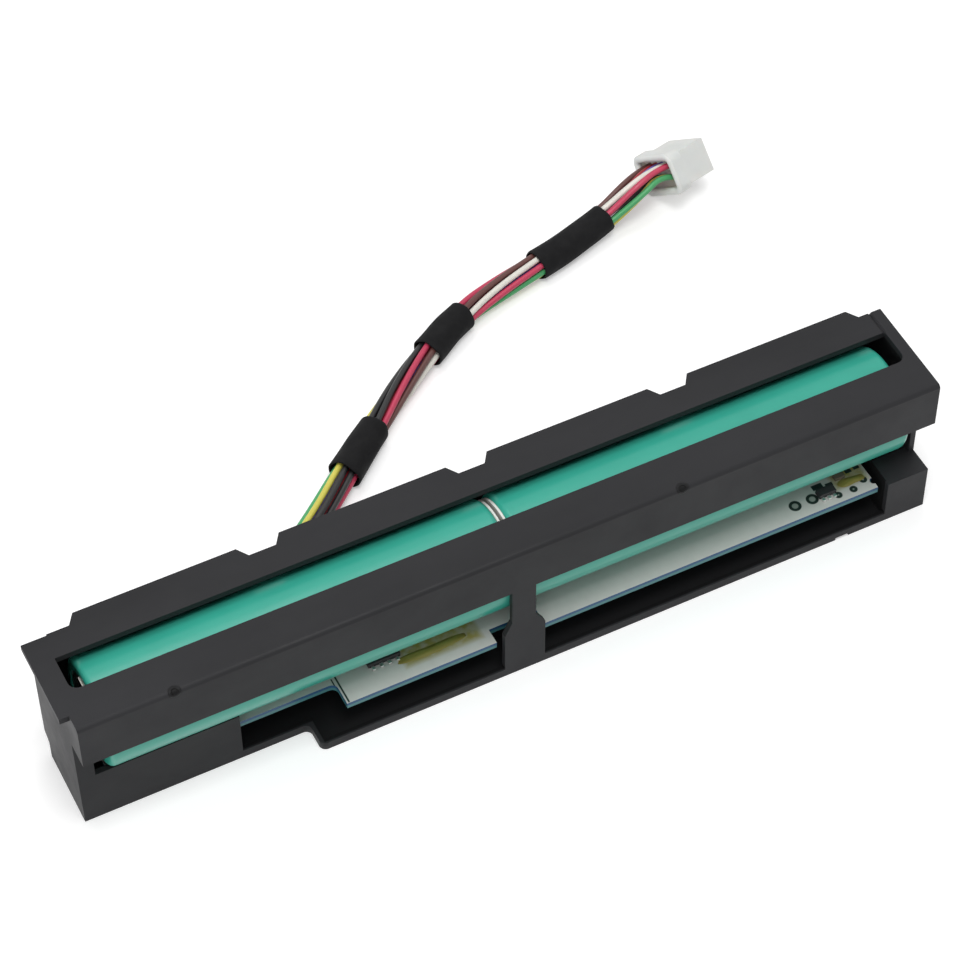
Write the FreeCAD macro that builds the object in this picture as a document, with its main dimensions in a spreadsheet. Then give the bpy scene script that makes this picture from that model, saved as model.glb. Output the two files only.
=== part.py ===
"""Battery module of a server's disk controller, as a parametric document.

A black moulded carrier holds two sticks of two cells each above a circuit board, and a
harness of ten wires runs out of its back to a white connector that lies beside it.

Sizes are in millimetres. The shapes are drawn with X from the carrier's left edge, Y from
its front plane backwards and Z from its underside upwards. Each piece's Placement then
moves it so that the origin is at the middle of the carrier's footprint, on the surface
that it stands on.
"""
import FreeCAD, Part
import math
import os
import re

import Sketcher
from FreeCAD import Placement, Rotation, Vector

SIZES = {
    "carrier_length": (195, "overall length of the carrier"),
    "carrier_depth": (26.9, "front plane to the back tabs"),
    "carrier_height": (39, "underside to top face"),
    "wall": (1.3, "moulded wall"),
    "plate": (1.5, "top plate"),
    "floor_plate": (1.2, "floor"),
    "rim_height": (2.2, "rim along the floor's front edge"),
    "rim_wall": (1.2, "thickness of that rim"),
    "bar_height": (12, "front bar"),
    "bar_underside": ("=carrier_height - bar_height", "lower edge of the front bar"),
    "crease_radius": (1, "round where bar and top plate meet"),
    "slot_left": (4.8, "slot over the sticks, left end"),
    "slot_margin": (2.6, "plate between the slot and the carrier's right end"),
    "slot_right": ("=carrier_length - slot_margin", "slot, right end"),
    "slot_front": (9.5, "slot, front edge"),
    "rail_depth": (6.2, "back rail, from the slot to the plate's back edge"),
    "slot_back": ("=carrier_depth - tab_depth - rail_depth", "slot, back edge"),
    "slot_corner": (2, "round of the slot's front corners"),
    "flange_width": (2.1, "plate beyond the left end wall"),
    "flange_front": (4.1, "front edge of that flange"),
    "flange_inset": (2.9, "from the carrier's back to that flange"),
    "flange_back": ("=carrier_depth - flange_inset", "back edge of that flange"),
    "flange_step": (5.5, "where the back edge steps out behind it"),
    "tab_depth": (2.6, "how far the tabs stand out"),
    "tab_line": ("=carrier_depth - tab_depth", "plate's back edge between the tabs"),
    "first_tab": (10.3, "left end of the first tab"),
    "last_tab_inset": (5.3, "from the last tab to the carrier's right end"),
    "last_tab": ("=carrier_length - last_tab_inset", "right end of the last tab"),
    "notch_shift": (0.95, "middle notch, right of the carrier's middle"),
    "notch_middle": ("=carrier_length / 2 + notch_shift", "centre of the middle notch between tabs"),
    "notch_pitch": (46.6, "from one notch to the next"),
    "notch_width": (5.9, "notch at the plate's edge"),
    "notch_slope": (1.75, "how far each tab's side leans in"),
    "notch_drop": (3, "how far the notches cut down"),
    "groove_inset": (2.7, "from the V groove to the carrier's right end"),
    "groove_place": ("=carrier_length - groove_inset", "V groove across the back rail"),
    "groove_width": (0.9, "width of that groove"),
    "groove_drop": (0.45, "depth of that groove"),
    "wall_inset": (0.8, "from the carrier's back to the back wall, above its bend"),
    "wall_bend": (2.1, "how far the back wall bends outwards"),
    "wall_line": ("=carrier_depth - wall_inset", "back wall's outer face above its bend"),
    "wall_setback": ("=wall_line - wall_bend", "back wall's outer face near the floor"),
    "bend_low": (4.9, "lower end of the back wall's bend"),
    "bend_high": (6.5, "upper end of that bend"),
    "recess": (6, "front face of the recessed low wall"),
    "low_wall_end": (37, "right end of the low wall"),
    "corner_post_end": (5.8, "corner post beside the left end wall"),
    "step_place": (51.8, "where the floor steps out to the front"),
    "step_radius": (1.5, "round of that step"),
    "block_width": (9.85, "width of the corner block"),
    "block_left": ("=carrier_length - block_width", "left face of the corner block"),
    "block_depth": (9.5, "how far its left wall runs back"),
    "rim_nick_inset": (21.9, "from the nick under the rim to the carrier's right end"),
    "rim_nick_width": (3.2, "width of that nick"),
    "rim_nick_height": (0.7, "height of that nick"),
    "post_shift": (0.6, "front post's middle, right of the carrier's middle"),
    "post_width": (5.4, "front post"),
    "post_left": ("=carrier_length / 2 + post_shift - post_width / 2", "front post, left edge"),
    "post_right": ("=post_left + post_width", "front post, right edge"),
    "foot_out_left": (1.7, "how far the foot stands out at the left"),
    "foot_out_right": (2.2, "how far the foot stands out at the right"),
    "foot_left": ("=post_left - foot_out_left", "post's foot, left edge"),
    "foot_right": ("=post_right + foot_out_right", "post's foot, right edge"),
    "film": (0.2, "shrink film"),
    "film_gap": (0.05, "air between can and film"),
    "bar_air": (0.1, "air between the front bar and the film"),
    "wall_air": (0.2, "air between the back wall and the film"),
    "can_radius": (
        "=(carrier_depth - wall_inset - 2 * wall - bar_air - wall_air) / 2 - film_gap - film",
        "cell's steel can",
    ),
    "axis_back": ("=wall + bar_air + film + film_gap + can_radius", "cells' axis, behind the front plane"),
    "axis_drop": (14.05, "from the top face down to the cells' axis"),
    "axis_height": ("=carrier_height - axis_drop", "cells' axis above the underside"),
    "shelf_air": (1.35, "air between the film and the corner block"),
    "block_height": (
        "=axis_height - can_radius - film_gap - film - shelf_air",
        "top of the corner block",
    ),
    "low_wall_rise": (2.2, "low wall's top above the corner block"),
    "low_wall_height": ("=block_height + low_wall_rise", "low wall at the left"),
    "foot_rise": (1.5, "top of the post's foot above the corner block"),
    "post_foot": ("=block_height + foot_rise", "where the post's foot is full width"),
    "flare_rise": (3.7, "height of the sloping sides above the foot"),
    "post_flare": ("=post_foot + flare_rise", "where the post starts to widen"),
    "can_round": (0.8, "round of the can's bottom edge"),
    "crimp_place": (3, "crimp groove from the can's top"),
    "crimp_depth": (0.7, "crimp groove"),
    "crimp_width": (1.2, "crimp groove"),
    "button_radius": (4.5, "cell's plus contact"),
    "button_height": (1, "cell's plus contact"),
    "film_fold": (2.5, "film folded in over each end"),
    "film_round": (1.2, "round of the film's end edges"),
    "stick_left": (8.3, "left end of the left stick"),
    "stick_gap": (1.8, "between the two sticks"),
    "stick_margin": (5, "from the right stick to the carrier's right end"),
    "disc_inset": (0.45, "from a can's side to the rings between the sticks"),
    "disc_radius": ("=can_radius - disc_inset", "insulating ring between the sticks"),
    "covered_inset": (1.05, "from a can's side to the ring under the right stick's film"),
    "covered_disc_radius": ("=can_radius - covered_inset", "insulating ring under the right stick's film"),
    "disc": (0.5, "thickness of the rings"),
    "disc_hole": (5, "hole of the rings, radius"),
    "strip": (0.3, "nickel strip"),
    "strip_width": (5, "nickel strip"),
    "strip_reach": (9.05, "strip's end above the cells' axis"),
    "can_length": (
        "=(carrier_length - stick_left - stick_gap - stick_margin - 2 * strip - 4 * film - disc) / 4"
        " - button_height",
        "cell's steel can",
    ),
    "weld_radius": (2, "raised weld spot of a strip"),
    "link_leg": (9, "length of the folded link's legs"),
    "foot_run": (7, "end strip's run above the board"),
    "cradle_width": (6, "saddle under a stick"),
    "cradle_first": (15.2, "left saddle, left face"),
    "cradle_inset": (21, "from the right saddle's left face to the carrier's right end"),
    "cradle_last": ("=carrier_length - cradle_inset", "right saddle, left face"),
    "cradle_sink": (1, "underside of the saddles below the corner block's top"),
    "cradle_bottom": ("=block_height - cradle_sink", "underside of the saddles"),
    "cradle_drop": (4.95, "saddles' top at the back wall, below the cells' axis"),
    "cradle_top": ("=axis_height - cradle_drop", "top of the saddles at the back wall"),
    "cradle_reach": (4, "saddles in front of the cells' axis"),
    "cradle_front": ("=axis_back - cradle_reach", "front face of the saddles"),
    "cradle_gap": (0.2, "between saddle and film"),
    "board_drop": (3.8, "board's underside below the corner block's top"),
    "board_height": ("=block_height - board_drop", "underside of the circuit board"),
    "board": (1.6, "circuit board"),
    "board_left": (9, "board's left edge"),
    "board_inset": (11, "from the board to the carrier's right end"),
    "board_right": ("=carrier_length - board_inset", "board's right edge"),
    "board_air": (2.5, "air between the board and the back wall"),
    "board_back": ("=wall_line - wall - board_air", "board's back edge"),
    "board_front": (2, "front edge of its wide part"),
    "board_narrow": (7.7, "front edge of its narrow part"),
    "board_step": (58.8, "where the wide part starts"),
    "board_round": (1.5, "inner corner there"),
    "post_clearance": (0.9, "board's notch round the post's foot"),
    "notch_back": (5.7, "back edge of the board's notch"),
    "edge_nick": (0.8, "half-round nick in the right edge, radius"),
    "edge_nick_back": (4, "centre of that nick"),
    "boss_radius": (2.5, "bosses under the board"),
    "pin_radius": (1, "locating pins on the bosses"),
    "pin_fit": (0.1, "clearance of a pin in the board"),
    "pin_above": (0.8, "pin above the board"),
    "boss_first": (25, "first column of bosses"),
    "boss_inset": (26, "from the last column to the carrier's right end"),
    "boss_pitch": ("=(carrier_length - boss_first - boss_inset) / 2", "from one column to the next"),
    "boss_rows": (8, "between the two rows of bosses"),
    "boss_margin": (2.8, "from the back row of bosses to the board's back edge"),
    "boss_back": ("=board_back - boss_margin", "back row of bosses"),
    "boss_front": ("=boss_back - boss_rows", "front row of bosses"),
    "exit_place": (60.5, "harness where it leaves the carrier"),
    "exit_rise": (3.1, "harness there, above the board"),
    "exit_height": ("=board_height + board + exit_rise", "harness there, above the underside"),
    "exit_margin": (1.5, "opening round the harness"),
    "chip_left": (66.4, "controller chip"),
    "chip_front": (7.9, "controller chip"),
    "chip_length": (7.3, "controller chip"),
    "chip_depth": (4, "controller chip"),
    "chip_height": (1.2, "both chips"),
    "lead_width": (0.7, "a chip's lead"),
    "lead_reach": (1, "lead in front of the chip"),
    "lead_height": (0.5, "a chip's lead"),
    "regulator_inset": (12.9, "from the regulator chip's left side to the board's right edge"),
    "regulator_left": ("=board_right - regulator_inset", "regulator chip"),
    "regulator_front": (4.6, "regulator chip"),
    "regulator_length": (4.1, "regulator chip"),
    "regulator_depth": (2, "regulator chip"),
    "capacitor_inset": (7.4, "from the capacitor's left side to the board's right edge"),
    "capacitor_left": ("=board_right - capacitor_inset", "capacitor"),
    "capacitor_front": (7.4, "capacitor"),
    "capacitor_length": (2.4, "capacitor"),
    "capacitor_depth": (1.4, "capacitor"),
    "capacitor_height": (0.9, "capacitor"),
    "bead_height": (0.7, "glue bead"),
    "bead_depth": (0.8, "half the depth of a glue bead"),
    "left_bead_place": (80, "left glue bead's middle, along the carrier"),
    "left_bead_front": (6.6, "left glue bead's middle, behind the front plane"),
    "left_bead_reach": (6, "half the length of the left glue bead"),
    "right_bead_inset": (4.4, "from the right glue bead's middle to the board's right edge"),
    "right_bead_front": (6.2, "right glue bead's middle, behind the front plane"),
    "right_bead_reach": (2.6, "half the length of the right glue bead"),
    "solder_margin": (0.3, "from the block of hot glue to the board's back edge"),
    "solder_depth": (1.7, "block of hot glue over the wires' joints"),
    "solder_height": (5.4, "that block above the board"),
    "wire_start": ("=board_back - solder_margin", "where the wires leave that block"),
    "solder_front": ("=wire_start - solder_depth", "front face of that block"),
    "wire": (1.4, "outer diameter of a wire"),
    "wire_gap": (0.15, "air between two wires"),
    "ring_share": (1.475, "radius of the outer ring of wires, as a multiple of their pitch"),
    "sleeve": (0.5, "sleeve over the harness, wall"),
    "sleeve_gap": (0.2, "air between sleeve and wires"),
    "plug_width": (12.5, "connector's section, long side"),
    "plug_thickness": (8.2, "connector's section, short side"),
    "plug_length": (11, "connector's length"),
    "plug_lip": (1.1, "collar round its wire end"),
    "plug_collar": (3, "length of that collar"),
    "plug_corner": (2.5, "round of the collar's corners"),
    "plug_roll": (38.5, "degrees the connector has rolled over"),
    "plug_heading": (15.5, "degrees from the carrier's length"),
    "plug_mouth_along": (198.35, "middle of its mating end"),
    "plug_mouth_back": (109.85, "middle of its mating end"),
    "plug_spread": (7.5, "where the wires spread, behind the connector"),
    "plug_entry": (1.6, "where they run straight, behind the connector"),
    "wire_hollow": (2.4, "depth of the hollow that the wires enter"),
    "hollow_wall": (1.2, "wall round that hollow"),
    "cavity": (1.7, "contact cavity, side"),
    "cavity_pitch": (2.3, "from one cavity to the next"),
    "cavity_rows": (3.4, "between the two rows of cavities"),
    "cavity_depth": (7, "contact cavity"),
    "contact": (0.9, "contact in a cavity, side"),
    "contact_length": (5, "contact in a cavity"),
}

doc = FreeCAD.newDocument("BatteryModule")
sheet = doc.addObject("Spreadsheet::Sheet", "Sizes")
for row, (size_name, (size_value, meaning)) in enumerate(SIZES.items(), start=1):
    sheet.set(f"A{row}", meaning)
    sheet.set(f"B{row}", str(size_value))
    sheet.setAlias(f"B{row}", size_name)
doc.recompute()

# Lengths that several pieces share, as formulas of the sizes above
FILM_RADIUS = "(can_radius + film_gap + film)"
STICK_LENGTH = "(2 * (can_length + button_height) + strip + 2 * film)"
SECOND_STICK = f"(stick_left + {STICK_LENGTH} + stick_gap)"
RIGHT_INSIDE = "(carrier_length - wall)"
PLATE_UNDERSIDE = "(carrier_height - plate)"
BOARD_TOP = "(board_height + board)"
BACK_INSIDE = "(wall_line - wall)"
RING_RADIUS = "(ring_share * (wire + wire_gap))"
BUNDLE_RADIUS = f"({RING_RADIUS} + wire / 2)"


def formula(words):
    """The expression with each size's name led by the name of its sheet."""
    return re.sub(r"[a-z_]+", lambda m: f"Sizes.{m[0]}" if m[0] in SIZES else m[0], words)


def value(words):
    """The number that a formula of the sizes gives."""
    return float(sheet.evalExpression(formula(str(words))))


def bind(thing, path, words):
    """Ties one property of a feature to a formula of the sizes."""
    thing.setExpression(path, formula(str(words)))


def place(piece, x="0", y="0", z="0"):
    """Ties a piece's Placement to the carrier's footprint, whose middle is the origin."""
    bind(piece, "Placement.Base.x", f"{x} - carrier_length / 2")
    bind(piece, "Placement.Base.y", f"{y} - carrier_depth / 2")
    bind(piece, "Placement.Base.z", z)


def new_body(label, x="0", y="0", z="0"):
    """An empty body with its label and its bound Placement."""
    body = doc.addObject("PartDesign::Body", label)
    body.Label = label
    place(body, x, y, z)
    return body


def sketch_on(body, role, level="0"):
    """A sketch on one of the body's own origin planes, shifted along the plane's normal."""
    sketch = body.newObject("Sketcher::SketchObject", "Sketch")
    plane = next(item for item in body.Origin.OriginFeatures if item.Role == role)
    sketch.AttachmentSupport = (plane, "")
    sketch.MapMode = "FlatFace"
    bind(sketch, "AttachmentOffset.Base.z", level)
    return sketch


def top_sketch(body, height):
    """Sketch seen from above: its axes are X and Y, and its normal is +Z."""
    return sketch_on(body, "XY_Plane", height)


def front_sketch(body, depth):
    """Sketch seen from the front: its axes are X and Z, and its normal is -Y."""
    return sketch_on(body, "XZ_Plane", f"-({depth})")


def side_sketch(body, place_along):
    """Sketch seen from the right: its axes are Y and Z, and its normal is +X."""
    return sketch_on(body, "YZ_Plane", place_along)


def hold(sketch, kind, edge, end, words):
    """Holds one point of an edge at a distance from the sketch's origin."""
    rule = Sketcher.Constraint(kind, -1, 1, edge, end, value(words))
    bind(sketch, f"Constraints[{sketch.addConstraint(rule)}]", words)


def outline(sketch, corners):
    """A closed outline of straight lines, each corner held at two formulas."""
    points = [Vector(value(across), value(up), 0) for across, up in corners]
    first = sketch.GeometryCount
    for start, end in zip(points, points[1:] + points[:1]):
        sketch.addGeometry(Part.LineSegment(start, end), False)
    for index, (across, up) in enumerate(corners):
        following = first + (index + 1) % len(corners)
        sketch.addConstraint(Sketcher.Constraint("Coincident", first + index, 2, following, 1))
        hold(sketch, "DistanceX", first + index, 1, across)
        hold(sketch, "DistanceY", first + index, 1, up)


def box_outline(sketch, left, right, low, high):
    """A rectangle between two formulas across and two up."""
    outline(sketch, [(left, low), (right, low), (right, high), (left, high)])


def circle(sketch, across, up, radius):
    """A circle held at its centre and its radius."""
    shape = Part.Circle(Vector(value(across), value(up), 0), Vector(0, 0, 1), value(radius))
    edge = sketch.addGeometry(shape, False)
    hold(sketch, "DistanceX", edge, 3, across)
    hold(sketch, "DistanceY", edge, 3, up)
    rule = Sketcher.Constraint("Radius", edge, value(radius))
    bind(sketch, f"Constraints[{sketch.addConstraint(rule)}]", radius)


def pad(body, sketch, length, backwards=False):
    """Raises a sketch along its normal, or against it."""
    feature = body.newObject("PartDesign::Pad", "Pad")
    feature.Profile = sketch
    feature.Reversed = backwards
    bind(feature, "Length", length)
    return feature


def pocket(body, sketch, depth, backwards=False):
    """Cuts a sketch against its normal, or along it, and checks that it took something."""
    doc.recompute()
    before = body.Shape.Volume
    feature = body.newObject("PartDesign::Pocket", "Pocket")
    feature.Profile = sketch
    feature.Reversed = backwards
    bind(feature, "Length", depth)
    doc.recompute()
    if body.Shape.Volume > before - 1e-6:
        raise RuntimeError(f"a cut in {body.Label} takes nothing away")
    return feature


def fillet(body, radius, wanted):
    """Rounds those edges of the body's last feature for which wanted() is true."""
    doc.recompute()
    last = body.Tip
    names = [f"Edge{i}" for i, edge in enumerate(last.Shape.Edges, start=1) if wanted(edge)]
    if not names:
        raise RuntimeError(f"no edge of {body.Label} to round with {radius}")
    feature = body.newObject("PartDesign::Fillet", "Fillet")
    feature.Base = (last, names)
    bind(feature, "Radius", radius)
    return feature


def lies_at(edge, x=None, y=None, z=None):
    """True if both ends of the edge lie at the given places."""
    wanted = [None if place_at is None else value(place_at) for place_at in (x, y, z)]
    return all(
        aim is None or abs(vertex.Point[axis] - aim) < 1e-4
        for vertex in edge.Vertexes
        for axis, aim in enumerate(wanted)
    )


def is_upright(edge):
    """True if the edge is a straight line along Z."""
    direction = edge.Vertexes[-1].Point - edge.Vertexes[0].Point
    return direction.Length > 1e-4 and abs(direction.z) > 0.999 * direction.Length


def end_wall_profile(front_of_foot, foot_height):
    """Outline of an end wall: the bar's depth on top, recessed below, bent at the back."""
    corners = [
        ("wall_setback", "0"),
        ("wall_setback", "bend_low"),
        ("wall_line", "bend_high"),
        ("wall_line", PLATE_UNDERSIDE),
        ("0", PLATE_UNDERSIDE),
        ("0", "bar_underside"),
        ("recess", "bar_underside"),
    ]
    if foot_height:
        corners += [("recess", foot_height), (front_of_foot, foot_height)]
    return corners + [(front_of_foot, "0")]


def carrier():
    """The moulded carrier: floor, walls, slotted top plate, bar, post, saddles and bosses."""
    body = new_body("carrier_frame")

    # Floor, set back at the left, and the rim that follows its front edge
    sketch = top_sketch(body, "0")
    outline(sketch, [
        ("flange_width", "recess"),
        ("step_place", "recess"),
        ("step_place", "0"),
        ("carrier_length", "0"),
        ("carrier_length", "wall_setback"),
        ("flange_width", "wall_setback"),
    ])
    pad(body, sketch, "floor_plate")
    sketch = top_sketch(body, "0")
    outline(sketch, [
        ("flange_width", "recess"),
        ("step_place", "recess"),
        ("step_place", "0"),
        ("carrier_length", "0"),
        ("carrier_length", "rim_wall"),
        ("step_place + rim_wall", "rim_wall"),
        ("step_place + rim_wall", "recess + rim_wall"),
        ("flange_width", "recess + rim_wall"),
    ])
    pad(body, sketch, "rim_height")
    fillet(body, "step_radius", lambda edge: is_upright(edge) and lies_at(edge, "step_place"))

    # Back wall, bent outwards above the floor
    sketch = side_sketch(body, "flange_width")
    outline(sketch, [
        ("wall_setback", "0"),
        ("wall_setback", "bend_low"),
        ("wall_line", "bend_high"),
        ("wall_line", PLATE_UNDERSIDE),
        (BACK_INSIDE, PLATE_UNDERSIDE),
        (BACK_INSIDE, "bend_high + wall / 3"),
        ("wall_setback - wall", "bend_low + wall / 3"),
        ("wall_setback - wall", "0"),
    ])
    pad(body, sketch, "carrier_length - flange_width")

    # End walls
    sketch = side_sketch(body, "flange_width")
    outline(sketch, end_wall_profile("recess", None))
    pad(body, sketch, "wall")
    sketch = side_sketch(body, RIGHT_INSIDE)
    outline(sketch, end_wall_profile("0", "block_height"))
    pad(body, sketch, "wall")

    # Top plate with the flange at its left, then the bar's front wall
    sketch = top_sketch(body, PLATE_UNDERSIDE)
    outline(sketch, [
        ("0", "flange_front"),
        ("flange_width", "flange_front"),
        ("flange_width", "0"),
        ("carrier_length", "0"),
        ("carrier_length", "carrier_depth"),
        ("flange_step", "carrier_depth"),
        ("flange_step", "flange_back"),
        ("0", "flange_back"),
    ])
    pad(body, sketch, "plate")
    sketch = front_sketch(body, "0")
    box_outline(sketch, "flange_width", "carrier_length", "bar_underside", "carrier_height")
    pad(body, sketch, "wall", backwards=True)
    fillet(body, "crease_radius", lambda edge: lies_at(edge, None, "0", "carrier_height"))

    # Low wall and corner post at the left, both set back
    sketch = front_sketch(body, "recess")
    outline(sketch, [
        ("flange_width", "0"),
        ("low_wall_end", "0"),
        ("low_wall_end", "low_wall_height"),
        ("corner_post_end", "low_wall_height"),
        ("corner_post_end", PLATE_UNDERSIDE),
        ("flange_width", PLATE_UNDERSIDE),
    ])
    pad(body, sketch, "wall", backwards=True)

    # Front post, which widens to its foot
    sketch = front_sketch(body, "0")
    outline(sketch, [
        ("foot_left", "0"),
        ("foot_right", "0"),
        ("foot_right", "post_foot"),
        ("post_right", "post_flare"),
        ("post_right", "carrier_height - crease_radius"),
        ("post_left", "carrier_height - crease_radius"),
        ("post_left", "post_flare"),
        ("foot_left", "post_foot"),
    ])
    pad(body, sketch, "wall", backwards=True)

    # Corner block at the right: front wall, left wall and a shelf that runs to the back
    sketch = front_sketch(body, "0")
    box_outline(sketch, "block_left", "carrier_length", "0", "block_height")
    pad(body, sketch, "wall", backwards=True)
    sketch = side_sketch(body, "block_left")
    box_outline(sketch, "0", "block_depth", "0", "block_height")
    pad(body, sketch, "wall")
    sketch = top_sketch(body, "block_height - floor_plate")
    box_outline(sketch, "block_left", "carrier_length", "0", BACK_INSIDE)
    pad(body, sketch, "floor_plate")

    # Saddles that carry the sticks, moulded onto the back wall
    for left in ("cradle_first", "notch_middle - cradle_width / 2", "cradle_last"):
        sketch = side_sketch(body, left)
        saddle_outline(sketch)
        pad(body, sketch, "cradle_width")

    # Bosses under the board, each with a locating pin
    for radius, top in (("boss_radius", "board_height"), ("pin_radius", f"{BOARD_TOP} + pin_above")):
        sketch = top_sketch(body, "0")
        for across, up in boss_places():
            circle(sketch, across, up, radius)
        pad(body, sketch, top)

    # Nick in the rim's lower edge
    sketch = front_sketch(body, "0")
    nick_left = "(carrier_length - rim_nick_inset)"
    box_outline(sketch, nick_left, f"{nick_left} + rim_nick_width", "0", "rim_nick_height")
    pocket(body, sketch, "rim_wall")

    # Slot over the sticks
    sketch = top_sketch(body, "carrier_height")
    box_outline(sketch, "slot_left", "slot_right", "slot_front", "slot_back")
    pocket(body, sketch, "plate")
    fillet(
        body, "slot_corner",
        lambda edge: is_upright(edge) and lies_at(edge, None, "slot_front")
        and (lies_at(edge, "slot_left") or lies_at(edge, "slot_right")),
    )

    # Notches that leave the tabs of the back edge, and the groove across the back rail
    sketch = top_sketch(body, "carrier_height")
    for number in (-1, 0, 1):
        middle = f"notch_middle + ({number}) * notch_pitch"
        outline(sketch, [
            (f"{middle} - notch_width / 2", "tab_line"),
            (f"{middle} + notch_width / 2", "tab_line"),
            (f"{middle} + notch_width / 2 + notch_slope", "carrier_depth"),
            (f"{middle} - notch_width / 2 - notch_slope", "carrier_depth"),
        ])
    outline(sketch, [
        ("0", "tab_line"),
        ("first_tab", "tab_line"),
        ("first_tab + notch_slope", "carrier_depth"),
        ("0", "carrier_depth"),
    ])
    outline(sketch, [
        ("last_tab", "tab_line"),
        ("carrier_length", "tab_line"),
        ("carrier_length", "carrier_depth"),
        ("last_tab - notch_slope", "carrier_depth"),
    ])
    pocket(body, sketch, "notch_drop")
    sketch = front_sketch(body, "slot_back")
    outline(sketch, [
        ("groove_place - groove_width / 2", "carrier_height"),
        ("groove_place", "carrier_height - groove_drop"),
        ("groove_place + groove_width / 2", "carrier_height"),
    ])
    pocket(body, sketch, "tab_line - slot_back")

    # Opening in the back wall for the harness
    reach = f"({BUNDLE_RADIUS} + exit_margin)"
    sketch = front_sketch(body, "wall_setback - wall")
    box_outline(sketch, f"exit_place - {reach}", f"exit_place + {reach}",
                f"exit_height - {reach}", f"exit_height + {reach}")
    pocket(body, sketch, "wall_bend + wall")
    return body


def saddle_outline(sketch):
    """Section of a saddle: a block with the round channel that a stick lies in."""
    radius = f"({FILM_RADIUS} + cradle_gap)"
    front, back = value("cradle_front"), value(BACK_INSIDE)
    low, high = value("cradle_bottom"), value("cradle_top")
    centre = Vector(value("axis_back"), value("axis_height"), 0)
    span = value(radius)
    front_top = Vector(front, centre.y - math.sqrt(span**2 - (centre.x - front) ** 2), 0)
    back_top = Vector(centre.x + math.sqrt(span**2 - (centre.y - high) ** 2), high, 0)
    corners = [front_top, Vector(front, low, 0), Vector(back, low, 0), Vector(back, high, 0), back_top]
    for start, end in zip(corners, corners[1:]):
        sketch.addGeometry(Part.LineSegment(start, end), False)
    angles = [math.atan2(point.y - centre.y, point.x - centre.x) for point in (front_top, back_top)]
    channel = Part.ArcOfCircle(Part.Circle(centre, Vector(0, 0, 1), span), *angles)
    arc = sketch.addGeometry(channel, False)
    for edge in range(3):
        sketch.addConstraint(Sketcher.Constraint("Coincident", edge, 2, edge + 1, 1))
    sketch.addConstraint(Sketcher.Constraint("Coincident", arc, 1, 0, 1))
    sketch.addConstraint(Sketcher.Constraint("Coincident", arc, 2, 3, 2))
    hold(sketch, "DistanceX", arc, 3, "axis_back")
    hold(sketch, "DistanceY", arc, 3, "axis_height")
    rule = Sketcher.Constraint("Radius", arc, span)
    bind(sketch, f"Constraints[{sketch.addConstraint(rule)}]", radius)
    hold(sketch, "DistanceX", 0, 1, "cradle_front")
    hold(sketch, "DistanceX", 1, 1, "cradle_front")
    hold(sketch, "DistanceY", 1, 1, "cradle_bottom")
    hold(sketch, "DistanceX", 2, 1, BACK_INSIDE)
    hold(sketch, "DistanceY", 2, 1, "cradle_bottom")
    hold(sketch, "DistanceX", 3, 1, BACK_INSIDE)
    hold(sketch, "DistanceY", 3, 1, "cradle_top")
    hold(sketch, "DistanceY", 3, 2, "cradle_top")


def boss_places():
    """Centres of the bosses: three columns in two rows."""
    return [
        (f"boss_first + {column} * boss_pitch", row)
        for column in range(3)
        for row in ("boss_front", "boss_back")
    ]


def revolved(label, corners, along):
    """A body turned about the cells' axis, from corners given along it and outwards."""
    body = new_body(label, along, "axis_back", "axis_height")
    sketch = top_sketch(body, "0")
    outline(sketch, corners)
    feature = body.newObject("PartDesign::Revolution", "Revolution")
    feature.Profile = sketch
    feature.ReferenceAxis = (sketch, ["H_Axis"])
    feature.Angle = 360
    return body


def rim_edge(edge, along, radius):
    """True if the edge is the full circle of that radius round the axis, at that place."""
    curve = edge.Curve
    return (
        isinstance(curve, Part.Circle)
        and abs(curve.Radius - value(radius)) < 1e-4
        and abs(curve.Center.x - value(along)) < 1e-4
    )


def shrink_film(label, along, length):
    """The film of one stick: a thin tube whose ends are folded in over the cells."""
    inside = f"({FILM_RADIUS} - film)"
    hole = f"({FILM_RADIUS} - film_fold)"
    body = revolved(label, [
        ("0", hole),
        ("film", hole),
        ("film", inside),
        (f"{length} - film", inside),
        (f"{length} - film", hole),
        (length, hole),
        (length, FILM_RADIUS),
        ("0", FILM_RADIUS),
    ], along)
    fillet(body, "film_round", lambda edge: rim_edge(edge, "0", FILM_RADIUS)
           or rim_edge(edge, length, FILM_RADIUS))
    fillet(body, "film_round - film", lambda edge: rim_edge(edge, "film", inside)
           or rim_edge(edge, f"{length} - film", inside))
    return body


def cell(label, along):
    """One cell: a can with a crimp groove near its plus end and the plus contact."""
    groove = "(can_length - crimp_place)"
    body = revolved(label, [
        ("0", "0"),
        ("can_length + button_height", "0"),
        ("can_length + button_height", "button_radius"),
        ("can_length", "button_radius"),
        ("can_length", "can_radius - crimp_depth"),
        (f"{groove} + crimp_width", "can_radius"),
        (f"{groove} + crimp_width / 2", "can_radius - crimp_depth"),
        (f"{groove} - crimp_width / 2", "can_radius"),
        ("0", "can_radius"),
    ], along)
    fillet(body, "can_round + film_round - film", lambda edge: rim_edge(edge, "0", "can_radius"))
    return body


def insulating_ring(label, along, radius):
    """A fibre ring round a stick's plus contact, or between a can and a strip."""
    return revolved(label, [
        ("0", "disc_hole"),
        ("disc", "disc_hole"),
        ("disc", radius),
        ("0", radius),
    ], along)


def weld_spot(body, along, length):
    """The raised spot of a strip that is welded to a cell."""
    sketch = side_sketch(body, along)
    circle(sketch, "axis_back", "axis_height", "weld_radius")
    pad(body, sketch, length)


def strip_body(label, corners):
    """A nickel strip: its edge view from the front, as wide as the strip."""
    body = new_body(label)
    sketch = front_sketch(body, "axis_back - strip_width / 2")
    outline(sketch, corners)
    pad(body, sketch, "strip_width", backwards=True)
    return body


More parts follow.
